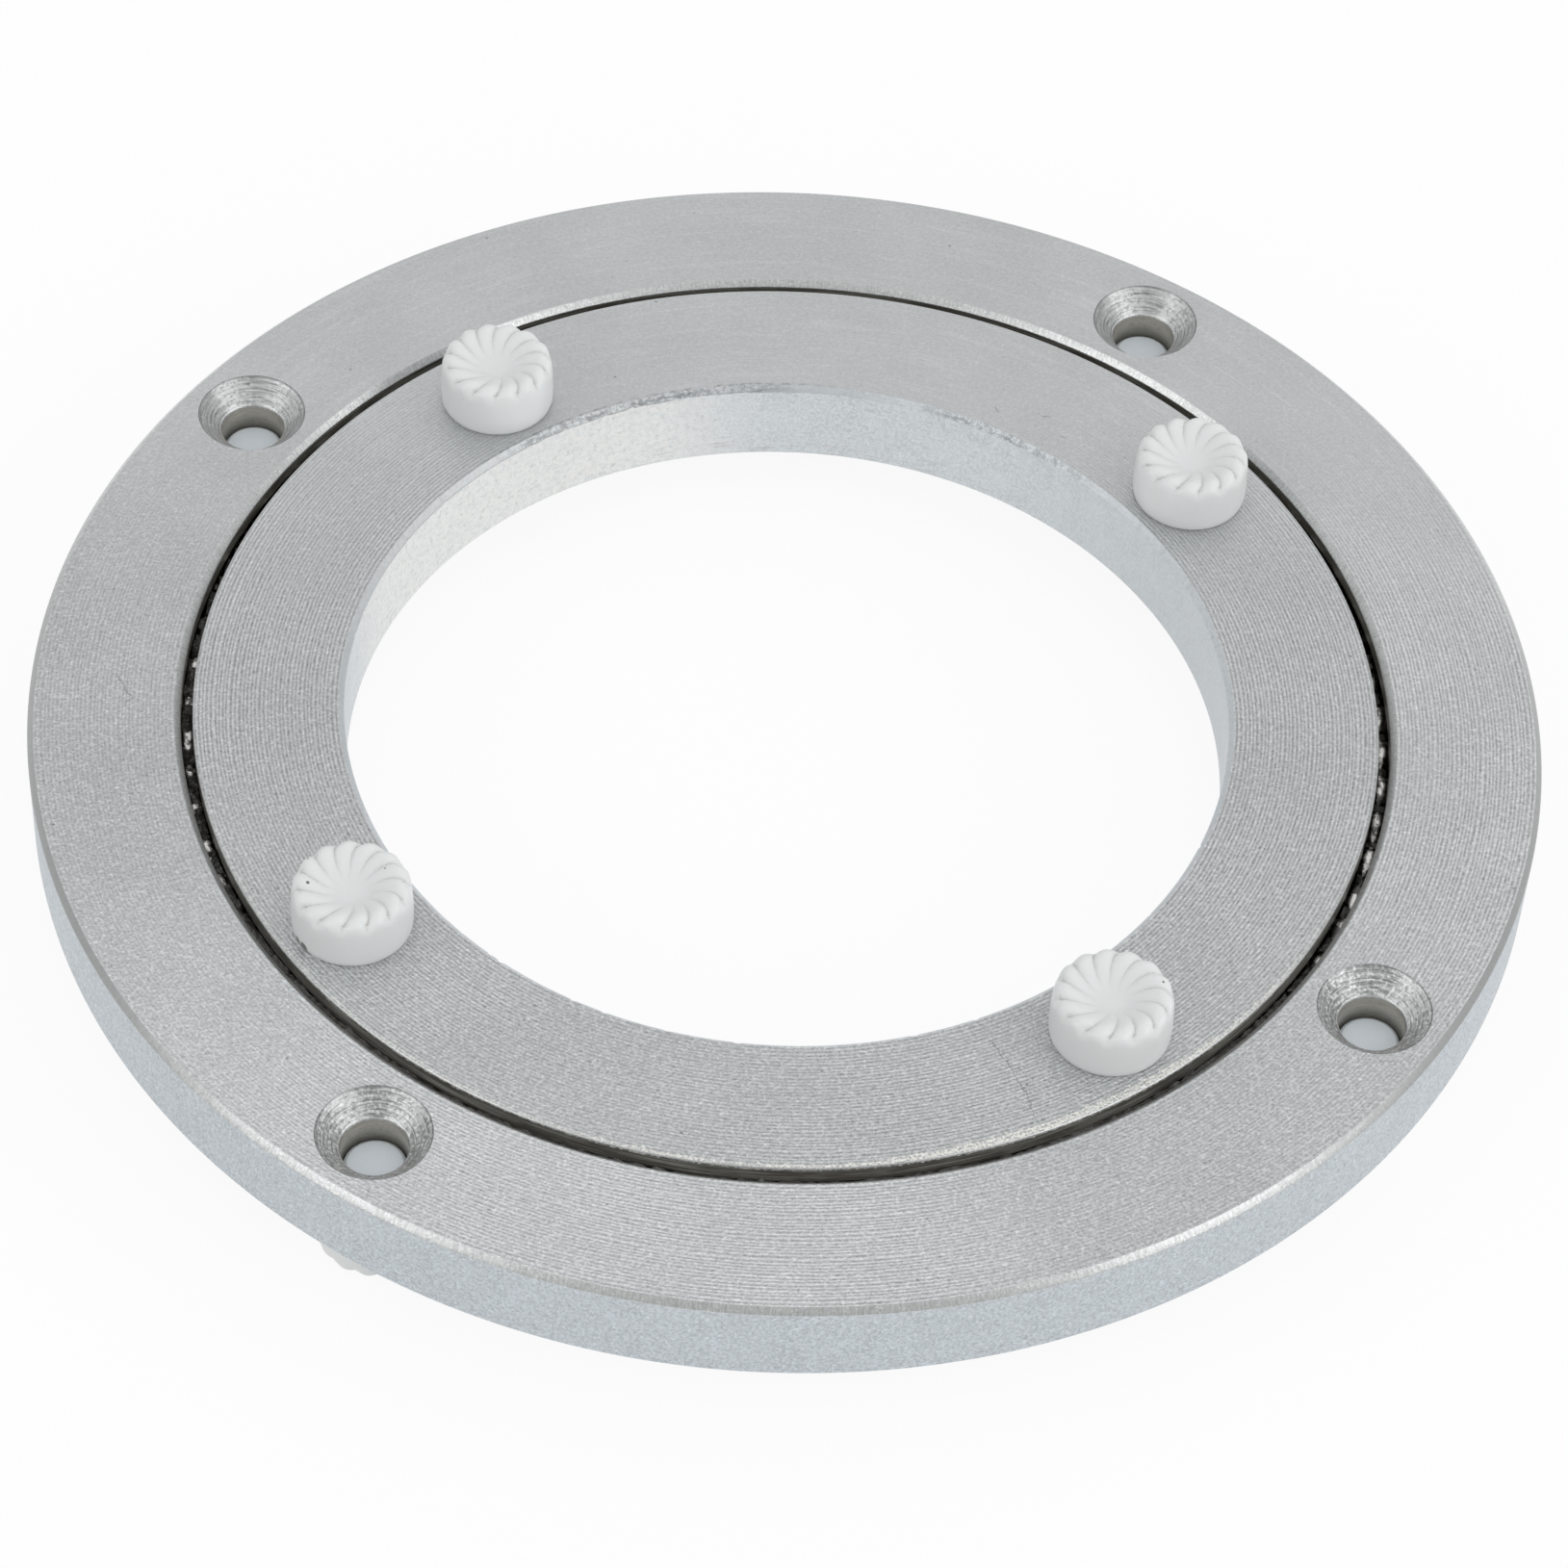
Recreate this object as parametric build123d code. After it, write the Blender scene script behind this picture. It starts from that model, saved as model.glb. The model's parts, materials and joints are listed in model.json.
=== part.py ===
from build123d import *
import os
from math import ceil, cos, floor, pi, radians, sin, sqrt, tan

# Lazy susan bearing: two turned aluminium rings that run on a full row of steel balls,
# with four white plastic pads plugged into each ring. Millimetres, +Z up.
# The origin is on the ring axis, in the plane that the foot pads stand on.

# Rings
outer_diameter = 140.0
outer_ring_width = 14.0
inner_ring_width = 13.9
ring_thickness = 9.0
gap_width = 1.1
rim_chamfer = 0.55
gap_chamfer = 0.55
bore_chamfer = 0.5
edge_break = 0.2
sharp_edge_break = 0.1

# Ball race: balls between two V grooves
ball_diameter = 4.5
ball_play = 0.02
race_clearance = 0.05
race_angle = 45.0
race_relief = 0.8
balls_per_set = 7

# Screw holes, countersunk on the top of the outer ring and under the inner ring
holes_per_ring = 4
hole_diameter = 6.0
countersink_diameter = 10.2
countersink_angle = 90.0
outer_hole_angle = 58.0
inner_hole_angle = 38.6

# Pads
pad_height = 5.3
pad_diameter = 10.9
pad_rim_slope = 0.8
pad_land_width = 1.1
pad_dish_depth = 0.55
pad_hub_diameter = 3.0
petal_count = 14
groove_width = 0.95
groove_depth = 0.6
groove_inner_radius = 1.5
groove_bend_radius = 5.5
groove_runs = 2
stem_length = 4.5
stem_clearance = 0.05
top_pad_turns = (8.7, 5.0, 24.3, 23.4)
foot_pad_turn = 6.0

# Plug that closes the hole through which the balls are put in
plug_diameter = 5.0
plug_clearance = 0.02
plug_angle = 103.0

# Heights and radii that follow
ring_bottom = pad_height
ring_top = ring_bottom + ring_thickness
ring_middle = (ring_bottom + ring_top) / 2
outer_radius = outer_diameter / 2
outer_gap_radius = outer_radius - outer_ring_width
inner_gap_radius = outer_gap_radius - gap_width
bore_radius = inner_gap_radius - inner_ring_width
ball_radius = ball_diameter / 2
ball_circle_radius = (outer_gap_radius + inner_gap_radius) / 2
outer_hole_radius = (outer_gap_radius + outer_radius) / 2
inner_hole_radius = (inner_gap_radius + bore_radius) / 2
ball_count = floor(2 * pi * ball_circle_radius / (ball_diameter + ball_play))
overshoot = 1.0


def ring_section(gap_radius, far_radius, gap_breaks, far_breaks):
    """Half section of a ring, with its V race in the wall at the gap.

    A point is given by its distance into the ring from the gap wall and its height above the
    ring's middle. The race walls lie at the race angle, a ball radius and the clearance away
    from the ball's centre. Each pair of breaks is the top edge's and the bottom edge's.
    """
    into = 1 if far_radius > gap_radius else -1
    width = abs(far_radius - gap_radius)
    half = ring_thickness / 2
    slope = tan(radians(race_angle))
    apex = (ball_radius + race_clearance) / sin(radians(race_angle)) - gap_width / 2
    mouth = apex * slope
    floor_depth = apex - race_relief / 2 / slope
    gap_top, gap_bottom = gap_breaks
    far_top, far_bottom = far_breaks
    outline = [
        (gap_bottom, -half),
        (width - far_bottom, -half),
        (width, far_bottom - half),
        (width, half - far_top),
        (width - far_top, half),
        (gap_top, half),
        (0, half - gap_top),
        (0, mouth),
        (floor_depth, race_relief / 2),
        (floor_depth, -race_relief / 2),
        (0, -mouth),
        (0, gap_bottom - half),
    ]
    points = [(gap_radius + into * x, 0, ring_middle + z) for x, z in outline]
    return make_face(Polyline(*points, close=True))


def countersunk_hole():
    """Cutter for one screw hole: its mouth is at height 0 and opens upwards."""
    hole = hole_diameter / 2
    mouth = countersink_diameter / 2
    slope = tan(radians(countersink_angle / 2))
    depth = (mouth - hole) / slope
    outline = [
        (0, -ring_thickness - overshoot),
        (hole, -ring_thickness - overshoot),
        (hole, -depth),
        (mouth + overshoot * slope, overshoot),
        (0, overshoot),
    ]
    return revolve(make_face(Polyline(*[(r, 0, z) for r, z in outline], close=True)), Axis.Z)


def radial_cylinder(radius):
    """A rod along the plug's direction, from the ball circle out past the rim."""
    length = outer_radius - ball_circle_radius + overshoot
    start = Plane(
        origin=(
            ball_circle_radius * cos(radians(plug_angle)),
            ball_circle_radius * sin(radians(plug_angle)),
            ring_middle,
        ),
        z_dir=(cos(radians(plug_angle)), sin(radians(plug_angle)), 0),
    )
    return extrude(start * Circle(radius), length)


def outer_ring_blank():
    """The outer ring before it is drilled."""
    section = ring_section(
        outer_gap_radius,
        outer_radius,
        (gap_chamfer, edge_break),
        (rim_chamfer, edge_break),
    )
    return revolve(section, Axis.Z)


def outer_ring():
    """Outer ring: four holes countersunk on top, and the ball filling hole through its wall."""
    ring = outer_ring_blank()
    for place in PolarLocations(outer_hole_radius, holes_per_ring, outer_hole_angle):
        ring -= Pos(0, 0, ring_top) * place * countersunk_hole()
    return ring - radial_cylinder(plug_diameter / 2)


def filling_plug():
    """Plug in the filling hole: it takes the ring's own section, so rim and race run on over it."""
    return outer_ring_blank() & radial_cylinder(plug_diameter / 2 - plug_clearance)


def inner_ring():
    """Inner ring: four holes countersunk on the underside."""
    section = ring_section(
        inner_gap_radius,
        bore_radius,
        (sharp_edge_break, gap_chamfer),
        (bore_chamfer, edge_break),
    )
    ring = revolve(section, Axis.Z)
    for place in PolarLocations(inner_hole_radius, holes_per_ring, inner_hole_angle):
        ring -= Pos(0, 0, ring_bottom) * place * Rot(180, 0, 0) * countersunk_hole()
    return ring


def pad_body():
    """Pad before its grooves are cut: a round head with a sloped rim and a dished top, on a stem."""
    side = pad_diameter / 2
    land_outer = side - pad_rim_slope
    land_inner = land_outer - pad_land_width
    stem = hole_diameter / 2 - stem_clearance
    outline = [
        (0, -stem_length),
        (stem, -stem_length),
        (stem, 0),
        (side, 0),
        (side, pad_height - pad_rim_slope),
        (land_outer, pad_height),
        (land_inner, pad_height),
        (pad_hub_diameter / 2, pad_height - pad_dish_depth),
        (0, pad_height - pad_dish_depth),
    ]
    return revolve(make_face(Polyline(*[(r, 0, z) for r, z in outline], close=True)), Axis.Z)


def petal_groove():
    """Cutter for one groove: a V carried along straight runs that follow an arc.

    The arc leaves the hub radially and its centre lies one bend radius to the right of that
    start, so the groove bends clockwise on its way out, seen from above.
    """
    half_width = groove_width / 2
    spread = half_width * (groove_depth + overshoot) / groove_depth
    reach = pad_diameter / 2 + overshoot - groove_inner_radius
    sweep_angle = reach / groove_bend_radius
    angles = [sweep_angle * run / groove_runs for run in range(groove_runs + 1)]
    path = Polyline(
        *[
            (
                groove_inner_radius + groove_bend_radius * sin(angle),
                groove_bend_radius * (cos(angle) - 1),
                pad_height - groove_depth,
            )
            for angle in angles
        ]
    )
    start = Plane(origin=path @ 0, x_dir=(0, 0, 1), z_dir=path % 0)
    section = make_face(
        start
        * Polyline(
            (0, 0),
            (groove_depth + overshoot, spread),
            (groove_depth + overshoot, -spread),
            close=True,
        )
    )
    return sweep(section, path=path, transition=Transition.RIGHT)


def pad():
    """One moulded pad, its head upwards and the head's seat at height 0."""
    shape = pad_body()
    groove = petal_groove()
    for place in PolarLocations(0, petal_count):
        shape -= place * groove
    return shape


def bearing_ball():
    """One ball, with twenty-six flats and every corner on the ball's true radius.

    Cutting a cube's edges back by its half side times two less the root of two leaves
    square flats all alike.
    """
    half_side = ball_radius / sqrt(1 + 2 * (sqrt(2) - 1) ** 2)
    cube = Box(2 * half_side, 2 * half_side, 2 * half_side)
    return chamfer(cube.edges(), half_side * (2 - sqrt(2)))


def save(shape, node):
    """Write one sub-part to its own file."""
    export_step(shape, f"parts/{node}.step")


os.makedirs("parts", exist_ok=True)
save(outer_ring(), "outer_ring")
save(inner_ring(), "inner_ring")
save(filling_plug(), "filling_plug")

moulded_pad = pad()
top_places = PolarLocations(inner_hole_radius, holes_per_ring, inner_hole_angle, rotate=False)
foot_places = PolarLocations(outer_hole_radius, holes_per_ring, outer_hole_angle, rotate=False)
for number, place in enumerate(top_places):
    turn = Rot(0, 0, top_pad_turns[number % len(top_pad_turns)])
    save(Pos(0, 0, ring_top) * place * turn * moulded_pad, f"top_pad_{number + 1}")
for number, place in enumerate(foot_places):
    turn = Rot(180, 0, foot_pad_turn)
    save(Pos(0, 0, ring_bottom) * place * turn * moulded_pad, f"foot_pad_{number + 1}")

ball = bearing_ball()
balls = [
    Pos(0, 0, ring_middle) * place * ball
    for place in PolarLocations(ball_circle_radius, ball_count)
]
for number in range(ceil(ball_count / balls_per_set)):
    start = number * balls_per_set
    save(Compound(children=balls[start : start + balls_per_set]), f"ball_set_{number + 1:02d}")
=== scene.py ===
"""Looks of a lazy susan bearing: two turned aluminium rings on a row of greased steel balls,
with white moulded pads plugged into both rings. Lengths are metres, written as so many MM."""

import json

import bmesh
import bpy
import numpy as np
from mathutils import Matrix, Vector


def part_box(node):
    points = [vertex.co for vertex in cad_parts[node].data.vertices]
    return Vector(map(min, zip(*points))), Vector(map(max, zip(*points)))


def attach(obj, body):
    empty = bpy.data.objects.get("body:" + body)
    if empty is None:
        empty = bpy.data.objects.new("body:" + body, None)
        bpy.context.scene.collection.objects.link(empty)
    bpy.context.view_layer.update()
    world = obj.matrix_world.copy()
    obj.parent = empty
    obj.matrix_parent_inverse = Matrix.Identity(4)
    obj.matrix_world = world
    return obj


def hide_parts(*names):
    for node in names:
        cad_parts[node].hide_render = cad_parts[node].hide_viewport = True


bl_info = {
    "name": "Lazy susan bearing",
    "version": (1, 0, 0),
    "blender": (4, 5, 0),
    "location": "View3D > Sidebar > Bearing",
    "description": "Dresses a packed turntable bearing: rings, pads, balls, grease and a studio",
    "category": "Object",
}

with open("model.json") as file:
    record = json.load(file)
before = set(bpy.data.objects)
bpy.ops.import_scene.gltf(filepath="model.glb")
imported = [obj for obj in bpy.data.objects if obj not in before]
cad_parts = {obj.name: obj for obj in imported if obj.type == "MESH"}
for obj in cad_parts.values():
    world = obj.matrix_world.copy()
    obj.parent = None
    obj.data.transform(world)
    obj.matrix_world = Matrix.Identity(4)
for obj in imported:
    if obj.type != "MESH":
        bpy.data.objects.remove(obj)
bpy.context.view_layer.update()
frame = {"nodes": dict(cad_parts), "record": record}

MM = 0.001
FULL_TURN = 2 * np.pi
MERGE_DISTANCE = 1e-4 * MM
SMOOTH_ANGLE = np.radians(35)

# Places and sizes read from the frame
RING_LOW, RING_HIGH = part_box("outer_ring")
MOUNTS = {mount["name"]: mount for mount in frame["record"]["mounts"]}
OUTER_RADIUS = RING_HIGH.x
RING_TOP = RING_HIGH.z
RING_BOTTOM = RING_LOW.z
RING_MIDDLE = (RING_TOP + RING_BOTTOM) / 2
INNER_GAP_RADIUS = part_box("inner_ring")[1].x
BORE_RADIUS = MOUNTS["centre_bore"]["dims"]["r_mm"] * MM
OUTER_HOLE_CIRCLE = MOUNTS["outer_screw_holes"]["dims"]["pcd_mm"] * MM / 2
INNER_HOLE_CIRCLE = MOUNTS["inner_screw_holes"]["dims"]["pcd_mm"] * MM / 2
HOLE_RADIUS = MOUNTS["outer_screw_holes"]["dims"]["hole_r_mm"] * MM
HOLES = MOUNTS["outer_screw_holes"]["dims"]["count"]


def node_centre(node):
    """Middle of a CAD node's box, seen from above."""
    low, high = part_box(node)
    return np.array([(low.x + high.x) / 2, (low.y + high.y) / 2])


def node_angle(node):
    """Angle of a CAD node round the ring axis."""
    x, y = node_centre(node)
    return float(np.arctan2(y, x))


OUTER_HOLE_ANGLE = node_angle("foot_pad_1")
INNER_HOLE_ANGLE = node_angle("top_pad_1")
PLUG_ANGLE = node_angle("filling_plug")


def a_length(name, description, millimetres):
    """A size that a user can change, in metres, from its default in millimetres."""
    return bpy.props.FloatProperty(
        name=name, description=description, default=millimetres * MM, unit="LENGTH"
    )


def a_colour(name, description, value):
    """A colour that a user can change."""
    return bpy.props.FloatVectorProperty(
        name=name, description=description, subtype="COLOR", default=value
    )


class BearingSizes(bpy.types.PropertyGroup):
    """Sizes that the frame does not give by itself"""

    gap: a_length("Gap", "Width of the gap between the rings", 1.1)
    rim_chamfer: a_length("Rim chamfer", "Outer ring, top outer edge", 0.55)
    gap_chamfer: a_length("Gap chamfer", "Outer ring, top inner edge", 0.55)
    bore_chamfer: a_length("Bore chamfer", "Inner ring, top edge of the bore", 0.5)
    edge_break: a_length("Edge break", "Chamfer of the lower edges", 0.2)
    countersink: a_length("Countersink", "Radius of a countersink's mouth", 5.1)
    ball_radius: a_length("Ball radius", "True radius of a ball", 2.25)
    pad_radius: a_length("Pad radius", "Radius at the pad's belly", 5.45)
    petals: bpy.props.IntProperty(
        name="Petals", description="Petals between the grooves of a pad", default=14, min=3
    )


class BearingColours(bpy.types.PropertyGroup):
    """Colours of the finishes"""

    aluminium: a_colour("Aluminium", "Turned faces", (0.515, 0.528, 0.533))
    blasted: a_colour("Blasted wall", "Outer side wall", (0.54, 0.58, 0.61))
    bore: a_colour("Bore wall", "Wall of the centre bore", (0.655, 0.69, 0.715))
    cut: a_colour("Fresh cut", "Countersinks and chamfers", (0.53, 0.54, 0.54))
    hole: a_colour("Screw hole", "Drilled holes", (0.52, 0.50, 0.455))
    grease: a_colour("Grease", "Worked grease in the gap", (0.05, 0.048, 0.044))
    steel: a_colour("Steel", "Balls", (0.62, 0.61, 0.59))
    plastic: a_colour("Plastic", "Pads", (0.735, 0.75, 0.75))
    # colour of the painted shade in the pads' grooves
    groove: a_colour("Groove", "Bottom of a pad's grooves", (0.60, 0.605, 0.56))
    floor: a_colour("Floor", "Studio floor", (0.9, 0.9, 0.9))


def settings(context):
    """The sizes and the colours that the scene holds."""
    return context.scene.bearing_sizes, context.scene.bearing_colours


# Node trees


class Nodes:
    """A node tree under construction. Its methods add a node and return an output of it."""

    def __init__(self, owner):
        owner.use_nodes = True
        self.tree = owner.node_tree
        self.tree.nodes.clear()

    def add(self, kind, sockets=None, **options):
        """Adds a node and links or sets its sockets; a colour gets an alpha of 1."""
        made = self.tree.nodes.new(kind)
        for key, value in options.items():
            setattr(made, key, value)
        for key, value in (sockets or {}).items():
            socket = made.inputs[key]
            if isinstance(value, bpy.types.NodeSocket):
                self.tree.links.new(value, socket)
            elif socket.type == "RGBA":
                socket.default_value = (*value, 1.0)
            else:
                socket.default_value = value
        return made

    def math(self, operation, a, b=0.0, clamp=False):
        made = self.add("ShaderNodeMath", {0: a, 1: b}, operation=operation, use_clamp=clamp)
        return made.outputs[0]

    def times(self, a, b):
        return self.math("MULTIPLY", a, b)

    def plus(self, a, b):
        return self.math("ADD", a, b)

    def minus(self, a, b):
        return self.math("SUBTRACT", a, b)

    def larger(self, a, b):
        return self.math("MAXIMUM", a, b)

    def ramp(self, value, low, high, to_low=0.0, to_high=1.0, kind="SMOOTHSTEP"):
        """Carries a value from one range over to another, and holds it at both ends."""
        sockets = {0: value, 1: low, 2: high, 3: to_low, 4: to_high}
        return self.add("ShaderNodeMapRange", sockets, interpolation_type=kind).outputs[0]

    def vector(self, x, y=0.0, z=0.0):
        return self.add("ShaderNodeCombineXYZ", {0: x, 1: y, 2: z}).outputs[0]

    def vectors(self, operation, a, b=(0, 0, 0), scale=1.0):
        """Vector arithmetic; a length, a distance and a dot product come out as a number."""
        made = self.add("ShaderNodeVectorMath", {0: a, 1: b, 3: scale}, operation=operation)
        return made.outputs[1 if operation in ("LENGTH", "DISTANCE", "DOT_PRODUCT") else 0]


class Finish(Nodes):
    """A material under construction. Places, heights and radii are in millimetres.

    It starts from a shade of its own colour. Other colours are laid over that, and bumps are
    added to its normal, one after the other.
    """

    def __init__(self, name, colour, shade=1.0):
        self.material = bpy.data.materials.new(name)
        super().__init__(self.material)
        coordinates = self.add("ShaderNodeTexCoord").outputs
        self.uv = coordinates["UV"]
        self.place = self.vectors("SCALE", coordinates["Object"], scale=1 / MM)
        self.x, self.y, self.z = self.add("ShaderNodeSeparateXYZ", {0: self.place}).outputs
        self.radius = self.vectors("LENGTH", self.vector(self.x, self.y))
        self.angle = self.math("ARCTAN2", self.y, self.x)
        self.colour = colour
        self.base = shaded(colour, shade)
        self.normal = None

    def noise(self, place, scale, detail=2.0, roughness=0.5, output="Fac"):
        sockets = {"Vector": place, "Scale": scale, "Detail": detail, "Roughness": roughness}
        return self.add("ShaderNodeTexNoise", sockets).outputs[output]

    def streaks(self, a, a_scale, b, b_scale, detail=2.0, roughness=0.5):
        """Noise over two measures of the surface, each at a scale of its own."""
        place = self.vector(self.times(a, a_scale), self.times(b, b_scale))
        return self.noise(place, 1.0, detail, roughness)

    def lay(self, mask, colour):
        """Lays a colour over the base where the mask is 1. A number is a shade of its own."""
        if isinstance(colour, float):
            colour = shaded(self.colour, colour)
        sockets = {0: mask, 6: self.base, 7: colour}
        self.base = self.add("ShaderNodeMix", sockets, data_type="RGBA").outputs[2]

    def bump(self, height, depth):
        """Raises the surface where the height is 1, by a depth in millimetres."""
        sockets = {"Height": height, "Distance": depth * MM, "Strength": 1.0}
        if self.normal is not None:
            sockets["Normal"] = self.normal
        self.normal = self.add("ShaderNodeBump", sockets).outputs[0]

    def scratch(self, start, end, width, shift):
        """Mask of a scratch between two places, seen from above; a noise shifts its line."""
        along = Vector(end) - Vector(start)
        place = self.vectors("ADD", self.vector(self.x, self.y), shift)
        place = self.vectors("MULTIPLY", place, (1, 1, 0))
        offset = self.vectors("SUBTRACT", place, (*start, 0))
        dot = self.vectors("DOT_PRODUCT", offset, (*(along / along.length_squared), 0))
        nearest = self.vectors("SCALE", (*along, 0), scale=self.math("ADD", dot, 0.0, clamp=True))
        distance = self.vectors("DISTANCE", offset, nearest)
        return self.ramp(distance, width / 2, width, 1.0, 0.0)

    def spot(self, centre, radius, flat=0.2):
        """Mask of a round speck; heights count by the share flat."""
        x, y, z = centre
        low = self.vectors("MULTIPLY", self.place, (1, 1, flat))
        distance = self.vectors("DISTANCE", low, (x, y, flat * z))
        return self.ramp(distance, radius * 0.6, radius, 1.0, 0.0)

    def toward(self, degrees, reach, soft=25.0):
        """Mask of a stretch round the axis: 1 within reach of an angle, then it fades."""
        beside = self.math("COSINE", self.minus(self.angle, np.radians(degrees)))
        return self.ramp(beside, np.cos(np.radians(reach + soft)), np.cos(np.radians(reach)))

    def any_of(self, masks):
        total = masks[0]
        for mask in masks[1:]:
            total = self.larger(total, mask)
        return total

    def shade(self, roughness, metallic=1.0, **constants):
        """Ends the material with its shader and returns it."""
        sockets = {"Base Color": self.base, "Metallic": metallic, "Roughness": roughness}
        if self.normal is not None:
            sockets["Normal"] = self.normal
        sockets.update({key.replace("_", " "): value for key, value in constants.items()})
        shader = self.add("ShaderNodeBsdfPrincipled", sockets)
        self.add("ShaderNodeOutputMaterial", {0: shader.outputs[0]})
        return self.material


def shaded(colour, factor):
    """A colour made darker or lighter by one factor."""
    return tuple(channel * factor for channel in colour)


# Turned and blasted metal. Places are in millimetres, angles in degrees from +X

LINE_PITCH = 0.37
SCRATCH_WIDTH = 0.065
BORE_RIM = BORE_RADIUS / MM
GAP_RIM = INNER_GAP_RADIUS / MM
TOP = RING_TOP / MM
LOW = RING_BOTTOM / MM
BEVEL_FOOT = TOP - 0.5
# colour of a painted highlight on a burr at the front of the gap
BURR_HIGHLIGHT = (0.92, 0.91, 0.86)
# colour of a painted highlight on the greased burr at the front of the gap
GREASED_BURR_HIGHLIGHT = (0.88, 0.87, 0.82)
# whiter colour of painted light on the bore's back left
BORE_PAINTED_WHITE = (0.86, 0.865, 0.85)
DUST = (0.40, 0.40, 0.38)
BROWN_STREAK = (0.42, 0.36, 0.33)
GREASE_TINT = (1.0, 0.97, 0.88)
INNER_RING_SCRATCHES = (
    ((19.4, -39.4), (21.2, -42.1)),
    ((21.2, -42.1), (22.8, -45.5)),
    ((22.8, -45.5), (23.8, -48.3)),
    ((18.6, 39.9), (19.1, 39.3)),
    ((23.2, 39.1), (24.1, 38.8)),
    ((24.9, 36.3), (25.5, 36.0)),
)
OUTER_RING_SCRATCHES = (
    ((-62.0, -2.3), (-61.1, -3.5)),
    ((-61.1, -3.5), (-60.3, -4.8)),
    ((-60.3, -4.8), (-60.9, -5.3)),
)


def tool_lines(f, inner):
    """Concentric lines of the turning tool, as a wave that swings about 0.

    The inner ring's lines are strongest at the front and the sides. On the outer ring they are
    strong at the front left and at the right, and faint elsewhere.
    """
    drift = f.noise(f.vector(f.times(f.radius, 0.9)), 1.0, 1.0)
    wobble = f.noise(f.place, 0.8)
    phase = f.plus(f.times(f.radius, FULL_TURN / LINE_PITCH), f.times(drift, 9.0))
    wave = f.math("SINE", f.plus(phase, f.times(wobble, 2.2)))
    dashes = f.streaks(f.radius, 2.7, f.angle, 42.0, roughness=0.7)
    if inner:
        side = f.math("ABSOLUTE", f.math("DIVIDE", f.x, f.radius))
        seen = f.larger(f.ramp(f.y, -12.0, 20.0, 0.8, 0.0), f.ramp(side, 0.55, 0.9))
    else:
        back = f.ramp(f.y, 0.0, 30.0, 0.42, 0.0)
        seen = f.any_of([f.toward(257, 20, 20), f.toward(-2, 14), back])
    patches = f.ramp(f.noise(f.place, 0.045), 0.38, 0.6, 0.5, 1.0)
    strength = f.plus(f.times(seen, patches), 0.08)
    return f.times(wave, f.times(strength, f.ramp(dashes, 0.25, 0.7, 0.3, 1.25)))


def face_tone_and_light(f, inner):
    """Slow changes of brightness over a turned face, as a factor about 1: random tone and painted
    light.
    """
    cloud = f.ramp(f.noise(f.place, 0.09), 0.3, 0.7, 0.98, 1.04)
    # painted light: the face is lighter towards the front
    level = f.plus(cloud, f.ramp(f.y, -60.0, 30.0, 0.1, 0.0))
    arcs = f.ramp(f.streaks(f.radius, 1.5, f.angle, 5.0), 0.52, 0.68, 0.0, 0.05)
    level = f.plus(level, f.times(arcs, f.ramp(f.y, 5.0, 40.0)))
    # painted highlights on the outer ring, at the front left and at the right
    if not inner:
        level = f.plus(level, f.times(f.toward(250, 12, 40), 0.14))
        level = f.plus(level, f.times(f.toward(-5, 10, 30), 0.1))
    return level


def edge_highlight_and_scuff(f):
    """A ragged burr with a painted highlight on it at the front of the gap, and a dark scuff at the
    back of the bore.
    """
    ragged = f.noise(f.place, 1.6, 3.0, 0.75)
    # painted highlight along a ragged burr, only at the front of the gap's edge
    reach = f.plus(f.times(ragged, 1.4), f.times(f.toward(298, 9, 12), 0.4))
    burr_highlight = f.ramp(f.plus(f.radius, reach), GAP_RIM + 0.1, GAP_RIM + 0.45)
    burr_highlight = f.times(burr_highlight, f.ramp(f.noise(f.place, 4.2, 1.0), 0.4, 0.56, 0.1, 1.0))
    burr_highlight = f.times(burr_highlight, f.ramp(f.y, -45.0, -10.0, 1.0, 0.0))
    burr_highlight = f.times(burr_highlight, f.plus(f.times(f.toward(292, 22, 22), 0.5), 0.5))
    f.lay(burr_highlight, BURR_HIGHLIGHT)
    scuff = f.ramp(f.radius, BORE_RIM + 0.55, BORE_RIM + 0.95, 1.0, 0.0)
    scuff = f.times(scuff, f.times(f.ramp(ragged, 0.46, 0.58), f.toward(112, 18, 12)))
    f.lay(f.times(scuff, 0.7), 0.45)


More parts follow.
